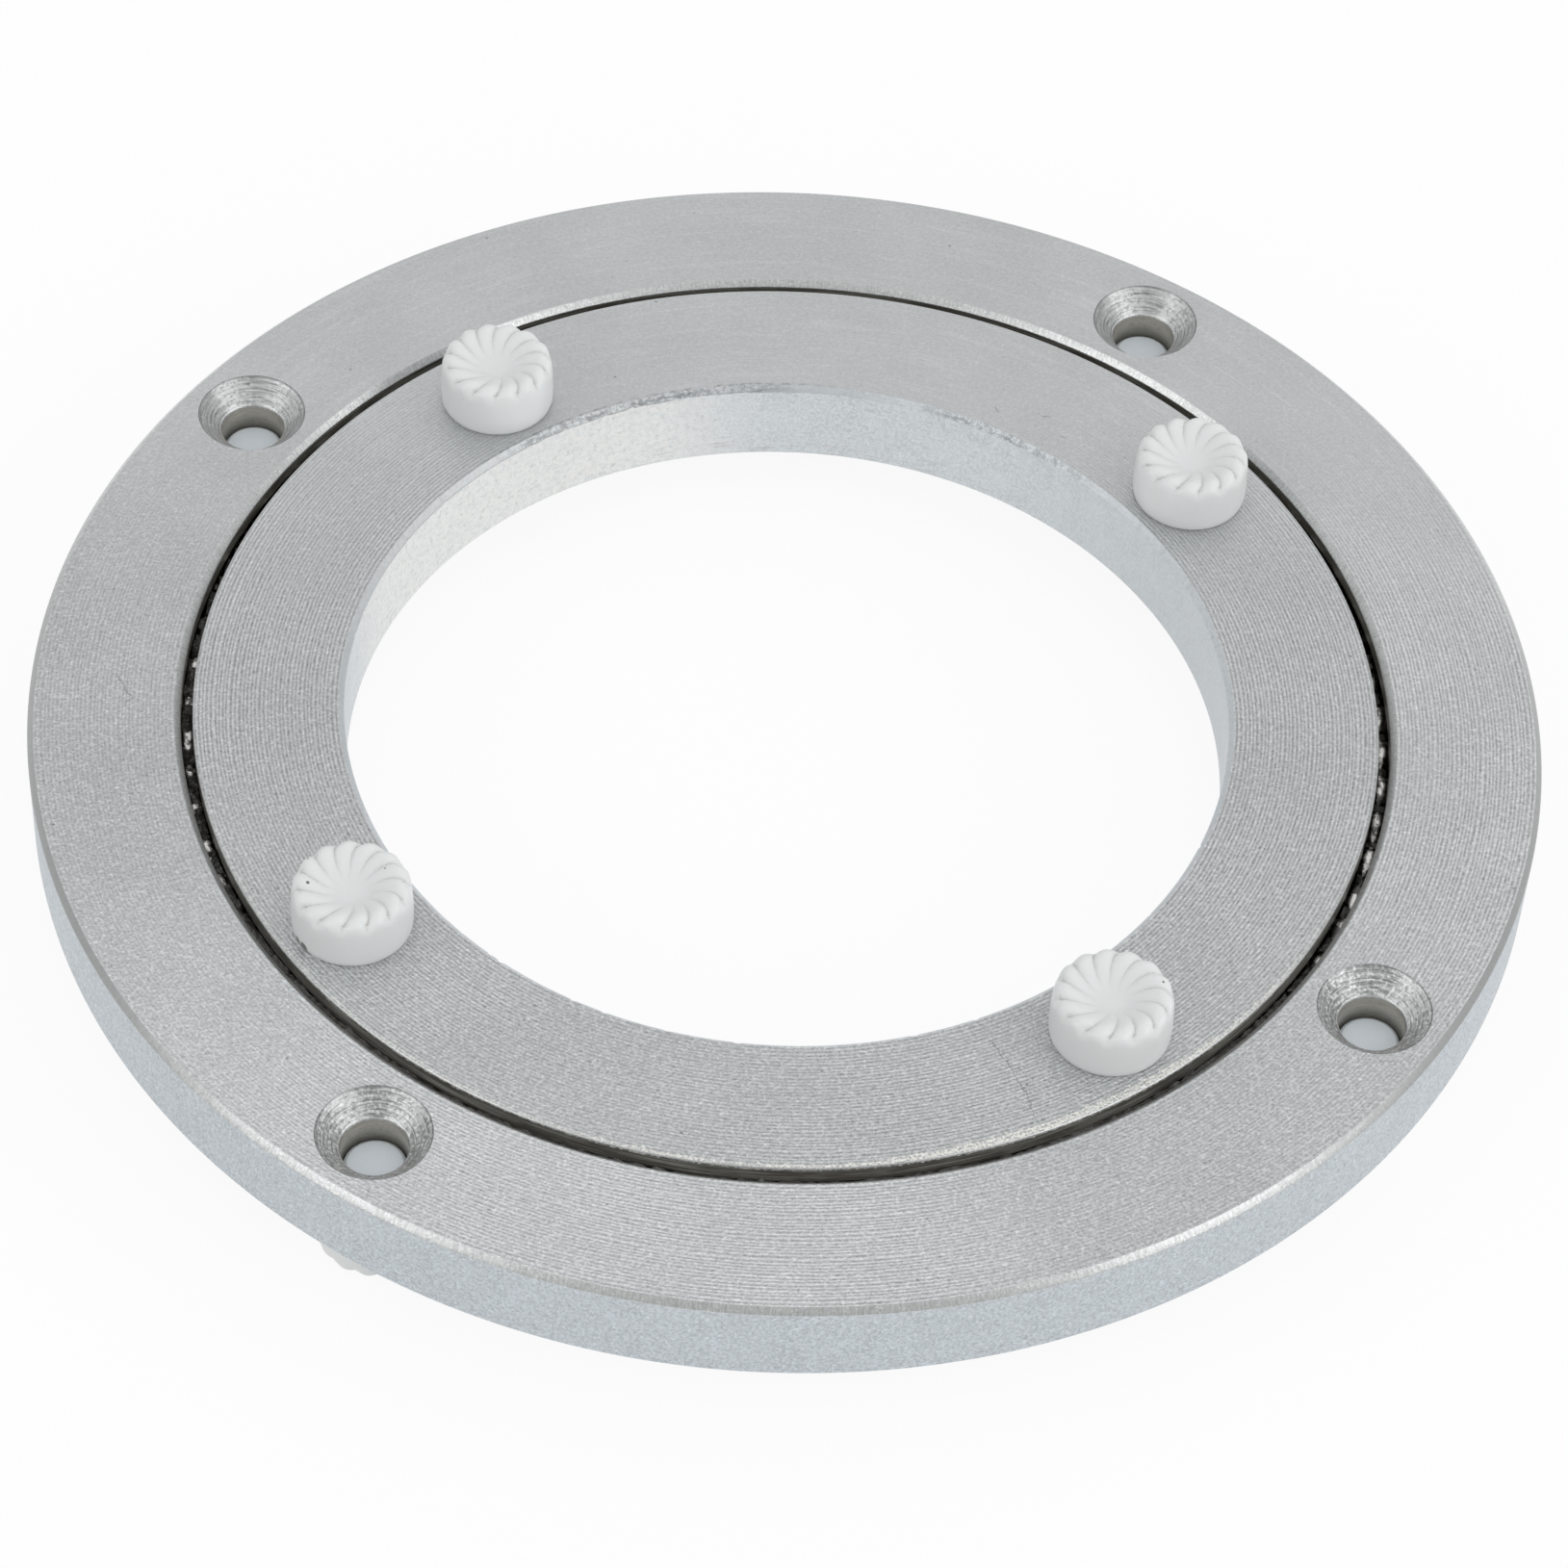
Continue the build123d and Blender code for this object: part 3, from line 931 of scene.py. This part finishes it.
def damage(edge_radius, edge_height):
    """Dents along a round edge.

    Each dent is a bell of angle; a point sinks outwards and down by the sum of the bells,
    weighted by a bell of its distance from the edge. Returns what dents an array of points.
    """
    random = np.random.default_rng(NICK_SEED)
    centres = np.concatenate([random.uniform(start, end, count) for start, end, count in NICKED])
    widths = random.uniform(0.4, 1.0, len(centres)) * NICK_WIDTH / edge_radius
    depths = random.uniform(0.3, 1.0, len(centres)) * NICK_DEPTH

    def dented(points):
        radius = np.hypot(points[:, 0], points[:, 1])
        angle = np.arctan2(points[:, 1], points[:, 0])
        away = np.hypot(radius - edge_radius, points[:, 2] - edge_height)
        near = np.exp(-((away / NICK_REACH) ** 2))
        close = np.flatnonzero(near > 0.01)
        turn = (angle[close, None] - centres + np.pi) % FULL_TURN - np.pi
        sink = (depths * np.exp(-((turn / widths) ** 2))).sum(1) * near[close]
        out = 1 + sink / radius[close]
        moved = points.copy()
        moved[close, 0] *= out
        moved[close, 1] *= out
        moved[close, 2] -= sink * NICK_FALL
        return moved

    return dented


def metal_finishes(name, colours, wall, scratches, inner):
    """The finishes of one ring, in the order that its faces name them."""
    return [
        turned_face(f"{name}_turned_face", colours.aluminium, scratches, inner),
        wall,
        cut_edge(f"{name}_chamfer", colours.cut),
        countersink_finish(f"{name}_countersink", colours.cut),
        drilled_finish(f"{name}_screw_hole", colours.hole),
        # the inner ring's wall shows more bare metal, partly painted light in the shaded gap
        greased_wall(
            f"{name}_race", colours.grease, colours.aluminium, 0.45 if inner else 0.25, highlit_edge=inner
        ),
    ]


class BEARING_OT_outer_ring(bpy.types.Operator):
    """Make the outer ring with its countersunk holes and the hole for the filling plug"""

    bl_idname = "bearing.outer_ring"
    bl_label = "Outer ring"

    def execute(self, context):
        sizes, colours = settings(context)
        gap_radius = INNER_GAP_RADIUS + sizes.gap
        faces, walls = ring_shape(
            gap_radius, OUTER_RADIUS,
            (sizes.gap_chamfer, sizes.edge_break), (sizes.rim_chamfer, sizes.edge_break),
            [EDGE, WALL, EDGE], sizes,
        )
        hole = countersink_outline(sizes.countersink, from_top=True)
        patches = ring_patches(faces, walls, OUTER_HOLE_CIRCLE, OUTER_HOLE_ANGLE, *hole)
        wall = blasted_wall("outer_ring_blasted_wall", colours.blasted)
        finishes = metal_finishes("outer_ring", colours, wall, OUTER_RING_SCRATCHES, inner=False)
        ring = make_piece(
            "outer_ring_turned", patches, finishes, "outer", ["outer_ring"],
        )
        drill_filling_hole(ring, gap_radius)
        return {"FINISHED"}


class BEARING_OT_inner_ring(bpy.types.Operator):
    """Make the inner ring with its worn bore edge"""

    bl_idname = "bearing.inner_ring"
    bl_label = "Inner ring"

    def execute(self, context):
        sizes, colours = settings(context)
        faces, walls = ring_shape(
            INNER_GAP_RADIUS, BORE_RADIUS,
            (SHARP_CHAMFER, sizes.gap_chamfer), (sizes.bore_chamfer, sizes.edge_break),
            [WALL, WALL, WALL], sizes,
        )
        hole = countersink_outline(sizes.countersink, from_top=False)
        patches = ring_patches(faces, walls, INNER_HOLE_CIRCLE, INNER_HOLE_ANGLE, *hole)
        wall = mottled_bore("inner_ring_bore_wall", colours.bore)
        finishes = metal_finishes("inner_ring", colours, wall, INNER_RING_SCRATCHES, inner=True)
        nicks = damage(BORE_RADIUS, RING_TOP - sizes.bore_chamfer)
        make_piece(
            "inner_ring_turned", patches, finishes, "inner", ["inner_ring"],
            reshape=nicks,
        )
        return {"FINISHED"}


# Filling plug

PLUG_RADIUS = 2.48 * MM
PLUG_HOLE_RADIUS = 2.5 * MM
PLUG_EDGE = 0.12 * MM


def drill_filling_hole(ring, gap_radius):
    """Cuts the radial hole for the plug: a rod from the race out past the rim."""
    turns = np.linspace(0, FULL_TURN, 65)
    inside, outside = gap_radius - 0.3 * MM, OUTER_RADIUS + 1 * MM
    radius = np.array([0.0, PLUG_HOLE_RADIUS, PLUG_HOLE_RADIUS, 0.0])
    across = np.outer(np.cos(turns), radius)
    height = np.outer(np.sin(turns), radius)
    reach = np.broadcast_to([inside, inside, outside, outside], across.shape)
    mesh = bpy.data.meshes.new("filling_hole_cutter")
    points = radial_place(reach, across, height).reshape(-1, 3)
    mesh.from_pydata(points, [], grid_quads(len(turns), len(radius)))
    close_mesh(mesh)
    cutter = new_object("filling_hole_cutter", mesh)
    cut = ring.modifiers.new("filling_hole", "BOOLEAN")
    cut.operation = "DIFFERENCE"
    cut.solver = "EXACT"
    cut.object = cutter
    bpy.context.view_layer.update()
    depsgraph = bpy.context.evaluated_depsgraph_get()
    drilled = bpy.data.meshes.new_from_object(ring.evaluated_get(depsgraph))
    ring.modifiers.remove(cut)
    ring.data = drilled
    smooth(drilled)
    bpy.data.objects.remove(cutter)


def radial_place(reach, across, height):
    """Points from their distance out along the plug, across it and above the ring's middle."""
    c, s = np.cos(PLUG_ANGLE), np.sin(PLUG_ANGLE)
    return np.stack([reach * c - across * s, reach * s + across * c, RING_MIDDLE + height], -1)


class BEARING_OT_filling_plug(bpy.types.Operator):
    """Make the plug that closes the ball filling hole"""

    bl_idname = "bearing.filling_plug"
    bl_label = "Filling plug"

    def execute(self, context):
        sizes, colours = settings(context)
        turns = np.linspace(0, FULL_TURN, 97)
        disc = np.concatenate([np.linspace(0, PLUG_RADIUS - PLUG_EDGE, 13), [PLUG_RADIUS]])
        across = np.outer(np.cos(turns), disc)
        height = np.outer(np.sin(turns), disc)
        recess = np.where(disc > PLUG_RADIUS - PLUG_EDGE / 2, PLUG_EDGE, 0.0)
        outer_end = np.sqrt(OUTER_RADIUS**2 - across**2) - recess
        mouth = race_mouth(sizes)
        depth = np.minimum(mouth - np.abs(height), mouth - RACE_RELIEF)
        inner_end = np.sqrt((INNER_GAP_RADIUS + sizes.gap + depth) ** 2 - across**2)
        side_across = np.repeat(across[:, -1:], 2, 1)
        side_height = np.repeat(height[:, -1:], 2, 1)
        side_reach = np.stack([outer_end[:, -1], inner_end[:, -1]], 1)
        uv = np.stack([across, height], -1) / MAP_UNIT
        side_uv = np.stack([side_across, side_reach], -1) / MAP_UNIT
        patches = [
            (radial_place(outer_end, across, height), uv, 0),
            (radial_place(side_reach, side_across, side_height), side_uv, 0),
            (radial_place(inner_end, across, height), uv, 1),
        ]
        finishes = [
            blasted_wall("plug_blasted_end", shaded(colours.blasted, 0.93)),
            greased_wall("plug_race", colours.grease, colours.aluminium, 0.25),
        ]
        make_piece(
            "filling_plug_pressed", patches, finishes, "outer", ["filling_plug"],
        )
        return {"FINISHED"}


# Pads

PETAL_COLUMNS = 16
TOP_PAD_TURNS = (8.7, 5.0, 24.3, 23.4)
FOOT_PAD_TURN = -6.0
GROOVE_START = 1.3 * MM
GROOVE_BEND = 5.5 * MM
# how wide, and from how deep, the grooves' painted shade shows
GROOVE_SHADE_WIDTH = 0.24 * MM
GROOVE_SHADE_DEPTH = 0.35 * MM
# Outside the hub the grooves fade over FADE_HEIGHT and end at GROOVE_FOOT, which is measured
# down from the pad's top, as HEAD_DEPTH is
HUB_RADIUS = 3.5 * MM
GROOVE_FOOT = 1.2 * MM
FADE_HEIGHT = 0.95 * MM
HEAD_DEPTH = 2.6 * MM
BELLY_HEIGHT = 1.3 * MM
SIDE_END = 0.25 * MM
SIDE_DRAW = 0.08 * MM
STEM_LENGTH = 4.5 * MM
STEM_CLEARANCE = 0.05 * MM
# A pad's crown: radius, and height from the pad's highest ring, in millimetres
CROWN = (
    (0.0, -1.42), (0.7, -1.40), (1.35, -1.30), (1.9, -1.05), (2.5, -0.70), (3.1, -0.37),
    (3.7, -0.12), (4.2, 0.0), (4.6, -0.06), (4.9, -0.19), (5.12, -0.38), (5.25, -0.62),
    (5.32, -0.95),
)
# Corners of the foot and of the stem's tip: how far in from the side, and how high above the
# pad's seat or the stem's end, in millimetres
FOOT = ((0.12, 0.06), (0.2, 0.0))
STEM_TIP = ((0.0, 0.85), (0.2, 0.22), (0.5, 0.0))
# How deep the grooves are, and how full the petals, at each radius in millimetres
GROOVE_RADII = (0, 1.2, 1.8, 3.0, 4.2, 5.0, 6.0)
GROOVE_DEPTHS = (0, 0, 0.05, 0.27, 0.46, 0.66, 0.66)
BOW_RADII = (3.0, 4.9)
BOWS = (1.95, 1.7)


def pad_outline(radius, height):
    """Half section of a pad, from the middle of its top to the end of its stem.

    The crown's corners are smoothed by a running mean. Below it the side swells to the belly
    as a parabola, and draws in a little towards the foot.
    """
    corners = np.array([(r * MM, height + z * MM) for r, z in CROWN])
    fine = np.linspace(0, len(corners) - 1, 61)
    index = np.arange(len(corners))
    r = np.interp(fine, index, corners[:, 0])
    z = np.interp(fine, index, corners[:, 1])
    mean = np.ones(7) / 7
    crown = np.stack([np.convolve(np.pad(v, 3, "edge"), mean, "valid") for v in (r, z)], -1)
    crown[0] = corners[0]
    side_share = np.linspace(0, 1, 12)[1:]
    crown_r, crown_z = crown[-1]
    side_z = crown_z * (1 - side_share) + SIDE_END * side_share
    side_r = np.where(
        side_z > BELLY_HEIGHT,
        radius - (radius - crown_r) * ((side_z - BELLY_HEIGHT) / (crown_z - BELLY_HEIGHT)) ** 2,
        radius - SIDE_DRAW * ((BELLY_HEIGHT - side_z) / BELLY_HEIGHT) ** 2,
    )
    side = np.stack([side_r, side_z], -1)
    foot = [(radius - inset * MM, rise * MM) for inset, rise in FOOT]
    stem = HOLE_RADIUS - STEM_CLEARANCE
    tip = [(stem - inset * MM, rise * MM - STEM_LENGTH) for inset, rise in STEM_TIP]
    return np.concatenate([crown, side, foot, [(stem, 0.0)], tip, [(0.0, -STEM_LENGTH)]])


def groove_angle(radius):
    """Angle of a groove's middle line at each radius: an arc that leaves the hub radially.

    Its points are (start + bend sin t, bend (cos t - 1)).
    """
    bend = np.linspace(0, 1.1, 200)
    x = GROOVE_START + GROOVE_BEND * np.sin(bend)
    y = GROOVE_BEND * (np.cos(bend) - 1)
    return np.interp(radius, np.hypot(x, y), np.arctan2(y, x))


def pad_surface(radius, height, petals, turn):
    """Pad as a grid round its own axis, its seat at height 0.

    Between two grooves the skin sinks by depth * (1 - (1 - (1 - q)^p)^(1 / p)), where q runs
    from 0 in a groove to 1 in a petal's middle: a broad convex petal and a narrow groove.
    Returns the grid, its map and how strongly the painted shade of the grooves shows at each point.
    """
    chain = pad_outline(radius, height)
    tangent = np.gradient(chain, axis=0)
    tangent /= np.maximum(np.linalg.norm(tangent, axis=1), 1e-9)[:, None]
    inward = np.stack([tangent[:, 1], -tangent[:, 0]], -1)
    turns = np.linspace(0, FULL_TURN, petals * PETAL_COLUMNS + 1)
    r, z = chain.T
    pitch = FULL_TURN / petals
    offset = (turns[:, None] - groove_angle(r) - turn + pitch / 2) % pitch - pitch / 2
    q = np.clip(np.abs(offset) / (pitch / 2), 0, 1)
    bow = np.interp(r, np.array(BOW_RADII) * MM, BOWS)
    sink = 1 - (1 - (1 - q) ** bow) ** (1 / bow)
    on_head = z > height - HEAD_DEPTH
    depth = np.interp(r * on_head, np.array(GROOVE_RADII) * MM, np.array(GROOVE_DEPTHS) * MM)
    depth *= np.clip((z - (height - GROOVE_FOOT)) / FADE_HEIGHT, 0, 1) ** (r > HUB_RADIUS)
    sunk = sink * depth
    r_grid = r + inward[:, 0] * sunk
    z_grid = z + inward[:, 1] * sunk
    grid = np.stack([r_grid * np.cos(turns)[:, None], r_grid * np.sin(turns)[:, None], z_grid], -1)
    along = chain_length(chain) / MAP_UNIT
    uv = np.stack(np.broadcast_arrays(turns[:, None] / FULL_TURN, along), -1)
    away = np.abs(offset) * r
    groove_shade = np.exp(-((away / GROOVE_SHADE_WIDTH) ** 2)) * np.clip(depth / GROOVE_SHADE_DEPTH, 0, 1)
    return grid, uv, groove_shade


class BEARING_OT_pads(bpy.types.Operator):
    """Make the top pads and the foot pads with their curved petals"""

    bl_idname = "bearing.pads"
    bl_label = "Pads"

    def execute(self, context):
        sizes, colours = settings(context)
        finish = plastic_finish("pad_white_plastic", colours.plastic, colours.groove)
        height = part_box("top_pad_1")[1].z - RING_TOP
        pads = [("top_pad", "inner", turn, RING_TOP, 1) for turn in TOP_PAD_TURNS]
        pads += [("foot_pad", "outer", FOOT_PAD_TURN, RING_BOTTOM, -1)] * HOLES
        for number, (kind, body, turn, seat, up) in enumerate(pads):
            node = f"{kind}_{number % HOLES + 1}"
            grid, uv, groove_shade = pad_surface(sizes.pad_radius, height, sizes.petals, np.radians(turn))
            centre = node_centre(node)
            grid = grid * (1, up, up) + (*centre, seat)
            make_piece(
                f"{node}_moulded", [(grid, uv, 0)], [finish], body, [node],
                attributes={"groove": groove_shade},
            )
        return {"FINISHED"}


# Balls and grease

BALLS_PER_SET = 7
BALL_ROWS = 14
BALL_COLUMNS = 24
GREASE_CLEARANCE = 0.04 * MM
GREASE_CREST = 1.75 * MM
LUMP_HEIGHT = 0.12 * MM
LEFT_LUMP_HEIGHT = 0.16 * MM
GREASE_BELOW_TOP = 0.9 * MM
GREASE_BELOW_MIDDLE = 0.2 * MM
GREASE_SEED = 11


class BEARING_OT_balls(bpy.types.Operator):
    """Make the full row of balls, a set of them for each CAD set"""

    bl_idname = "bearing.balls"
    bl_label = "Balls"

    def execute(self, context):
        sizes, colours = settings(context)
        finish = steel_finish("ball_greased_steel", colours.steel)
        circle = INNER_GAP_RADIUS + sizes.gap / 2
        sets = sorted(node for node in frame["nodes"] if node.startswith("ball_set"))
        count = BALLS_PER_SET * len(sets)
        polar = np.linspace(0, np.pi, BALL_ROWS + 1)
        turns = np.linspace(0, FULL_TURN, BALL_COLUMNS + 1)
        half_circle = np.stack([np.sin(polar), np.cos(polar)], -1) * sizes.ball_radius
        for number, node in enumerate(sets):
            patches = []
            for ball in range(number * BALLS_PER_SET, (number + 1) * BALLS_PER_SET):
                angle = FULL_TURN * ball / count
                centre = circle * np.array([np.cos(angle), np.sin(angle)])
                grid, uv = turned_grid(half_circle + (0, RING_MIDDLE), turns, centre)
                patches.append((grid, uv, 0))
            make_piece(f"{node}_steel", patches, [finish], "balls", [node])
        return {"FINISHED"}


class BEARING_OT_grease(bpy.types.Operator):
    """Make the bead of dark grease that lies on the balls in the gap

    Its crest is a height for each side of the ring plus lumps, which are random waves round the
    ring. Three rows of lumps are blended across the gap.
    """

    bl_idname = "bearing.grease"
    bl_label = "Grease"

    def execute(self, context):
        sizes, colours = settings(context)
        random = np.random.default_rng(GREASE_SEED)
        turns = np.linspace(0, FULL_TURN, 1441)
        waves = np.arange(20, 420, 7)
        phases = random.uniform(0, FULL_TURN, (3, len(waves)))
        swings = random.normal(0, 1, (3, len(waves))) / np.sqrt(waves)
        lumps = (swings[:, None, :] * np.cos(turns[:, None] * waves + phases[:, None, :])).sum(-1)
        lumps /= lumps.std()
        left_side = np.exp(-(((turns - np.pi) / 0.42) ** 2))
        right_side = np.exp(-(((turns + 0.12 + np.pi) % FULL_TURN - np.pi) / 0.3) ** 2)
        front = np.clip((-np.sin(turns) - 0.35) / 0.35, 0, 1)
        rise = (0.45 * left_side - 0.7 * right_side + front) * MM
        crest = RING_MIDDLE + GREASE_CREST + rise
        gap_in = INNER_GAP_RADIUS + GREASE_CLEARANCE
        gap_out = INNER_GAP_RADIUS + sizes.gap - GREASE_CLEARANCE
        share = np.linspace(0, 1, 7)
        radius = gap_in + (gap_out - gap_in) * share
        blend = np.stack([1 - share, np.sin(share * np.pi), share], 0)
        lump_height = LUMP_HEIGHT + LEFT_LUMP_HEIGHT * left_side[:, None]
        top = crest[:, None] + lump_height * (lumps.T @ blend)
        top = np.minimum(top, RING_TOP - GREASE_BELOW_TOP)
        bottom = np.full_like(top, RING_MIDDLE - GREASE_BELOW_MIDDLE)
        section = np.concatenate([top, bottom[:, ::-1], top[:, :1]], 1)
        radii = np.concatenate([radius, radius[::-1], radius[:1]])
        grid = np.stack(
            [np.cos(turns)[:, None] * radii, np.sin(turns)[:, None] * radii, section], -1
        )
        grid[-1] = grid[0]
        uv = np.stack(np.broadcast_arrays(turns[:, None], radii / MAP_UNIT), -1)
        finish = grease_finish("gap_dark_grease", colours.grease)
        make_piece("gap_grease", [(grid, uv, 0)], [finish], "balls")
        return {"FINISHED"}


# Studio

# Fitted to the photograph; the turns are degrees of yaw, pitch and roll
CAMERA_DISTANCE = 491.48 * MM
CAMERA_ELEVATION = 48.134
CAMERA_TURN = (-0.014, -0.246, -3.248)
LENS = 120.05
SENSOR = 36.0
LAMP_SIZE = (0.7, 0.34)
FLOOR_HALF = 3.0
FLOOR_WHITE = 0.9


def turned(vector, axis, degrees):
    """A direction turned about an axis."""
    return Matrix.Rotation(np.radians(degrees), 3, axis) @ vector


def make_camera():
    """Camera in front of and above the ring, tilted a few degrees, as the photograph was taken."""
    elevation = np.radians(CAMERA_ELEVATION)
    back = Vector((0, -np.cos(elevation), np.sin(elevation)))
    forward, right = -back, Vector((1, 0, 0))
    up = right.cross(forward)
    yaw, pitch, roll = CAMERA_TURN
    forward, right = turned(forward, up, yaw), turned(right, up, yaw)
    forward, up = turned(forward, right, pitch), turned(up, right, pitch)
    right, up = turned(right, forward, roll), turned(up, forward, roll)
    data = bpy.data.cameras.new("camera")
    data.lens = LENS
    data.sensor_width = SENSOR
    data.clip_start, data.clip_end = 0.05, 20.0
    camera = new_object("camera", data)
    turn = Matrix((right, up, -forward)).transposed().to_4x4()
    place = back * CAMERA_DISTANCE + Vector((0, 0, RING_BOTTOM))
    camera.matrix_world = Matrix.Translation(place) @ turn
    bpy.context.scene.camera = camera


def area_lamp(name, place, power):
    """Softbox that looks at the origin."""
    data = bpy.data.lights.new(name, "AREA")
    data.shape = "RECTANGLE"
    data.size, data.size_y = LAMP_SIZE
    data.energy = power
    lamp = new_object(name, data)
    lamp.location = place
    lamp.rotation_euler = (-Vector(place)).to_track_quat("-Z", "Y").to_euler()


def make_floor(colour):
    """Pale floor: white to the camera and to reflections, with the part's own soft shadow."""
    corners = [(x * FLOOR_HALF, y * FLOOR_HALF, 0) for x, y in ((-1, -1), (1, -1), (1, 1), (-1, 1))]
    mesh = bpy.data.meshes.new("studio_floor")
    mesh.from_pydata(corners, [], [(0, 1, 2, 3)])
    floor = new_object("studio_floor", mesh)
    material = bpy.data.materials.new("studio_floor")
    nodes = Nodes(material)
    rays = nodes.add("ShaderNodeLightPath").outputs
    seen = nodes.larger(rays["Is Camera Ray"], rays["Is Glossy Ray"])
    seen = nodes.larger(seen, rays["Is Transmission Ray"])
    share = nodes.times(seen, FLOOR_WHITE)
    lit = nodes.add("ShaderNodeBsdfDiffuse", {0: colour}).outputs[0]
    white = nodes.add("ShaderNodeEmission", {0: (1, 1, 1)}).outputs[0]
    mix = nodes.add("ShaderNodeMixShader", {0: share, 1: lit, 2: white}).outputs[0]
    nodes.add("ShaderNodeOutputMaterial", {0: mix})
    mesh.materials.append(material)


# Two values of a direction's height, its way back or its way right, and the light at both
MIRRORED_LIGHT = (0.0, 0.6, 0.44, 0.97)
MIRRORED_FRONT = (-0.78, -0.5, 0.6, 1.0)
DIFFUSE_LIGHT = (-1.0, 1.0, 0.62, 1.1)


def make_world():
    """White to the camera. In reflections it falls off low down and in front; it lights more
    from the right."""
    world = bpy.data.worlds.new("studio")
    bpy.context.scene.world = world
    nodes = Nodes(world)
    rays = nodes.add("ShaderNodeLightPath").outputs
    direction = nodes.add("ShaderNodeTexCoord").outputs["Generated"]
    right, back, height = nodes.add("ShaderNodeSeparateXYZ", {0: direction}).outputs
    mirrored = nodes.times(nodes.ramp(height, *MIRRORED_LIGHT), nodes.ramp(back, *MIRRORED_FRONT))
    strength = nodes.ramp(right, *DIFFUSE_LIGHT, kind="LINEAR")
    for ray, level in (
        ("Is Glossy Ray", mirrored), ("Is Transmission Ray", 1.0), ("Is Camera Ray", 1.0)
    ):
        strength = nodes.add("ShaderNodeMix", {0: rays[ray], 2: strength, 3: level}).outputs[0]
    background = nodes.add("ShaderNodeBackground", {0: (1, 1, 1), 1: strength})
    nodes.add("ShaderNodeOutputWorld", {0: background.outputs[0]})


class BEARING_OT_stage(bpy.types.Operator):
    """Make the floor, the lamps, the surroundings and the camera"""

    bl_idname = "bearing.stage"
    bl_label = "Studio"

    def execute(self, context):
        make_floor(context.scene.bearing_colours.floor)
        make_world()
        area_lamp("softbox_left", (-0.715, -0.447, 0.537), 1.2)
        area_lamp("softbox_right", (0.787, -0.351, 0.508), 1.4)
        make_camera()
        context.scene.view_settings.view_transform = "Standard"
        return {"FINISHED"}


class BEARING_PT_panel(bpy.types.Panel):
    """Lists the pieces of the bearing"""

    bl_idname = "BEARING_PT_panel"
    bl_label = "Lazy susan bearing"
    bl_space_type = "VIEW_3D"
    bl_region_type = "UI"
    bl_category = "Bearing"

    def draw(self, context):
        for operator in OPERATORS:
            self.layout.operator(operator.bl_idname)
        for group in (context.scene.bearing_sizes, context.scene.bearing_colours):
            box = self.layout.box()
            for name in group.bl_rna.properties.keys():
                if name not in ("rna_type", "name"):
                    box.prop(group, name)


OPERATORS = (
    BEARING_OT_outer_ring,
    BEARING_OT_inner_ring,
    BEARING_OT_filling_plug,
    BEARING_OT_pads,
    BEARING_OT_balls,
    BEARING_OT_grease,
    BEARING_OT_stage,
)
CLASSES = (BearingSizes, BearingColours, *OPERATORS, BEARING_PT_panel)


def register():
    for item in CLASSES:
        bpy.utils.register_class(item)
    bpy.types.Scene.bearing_sizes = bpy.props.PointerProperty(type=BearingSizes)
    bpy.types.Scene.bearing_colours = bpy.props.PointerProperty(type=BearingColours)


def unregister():
    del bpy.types.Scene.bearing_colours
    del bpy.types.Scene.bearing_sizes
    for item in reversed(CLASSES):
        bpy.utils.unregister_class(item)


def main():
    """Makes every piece and the studio."""
    register()
    bpy.ops.bearing.outer_ring()
    bpy.ops.bearing.inner_ring()
    bpy.ops.bearing.filling_plug()
    bpy.ops.bearing.pads()
    bpy.ops.bearing.balls()
    bpy.ops.bearing.grease()
    bpy.ops.bearing.stage()


if __name__ == "__main__":
    main()
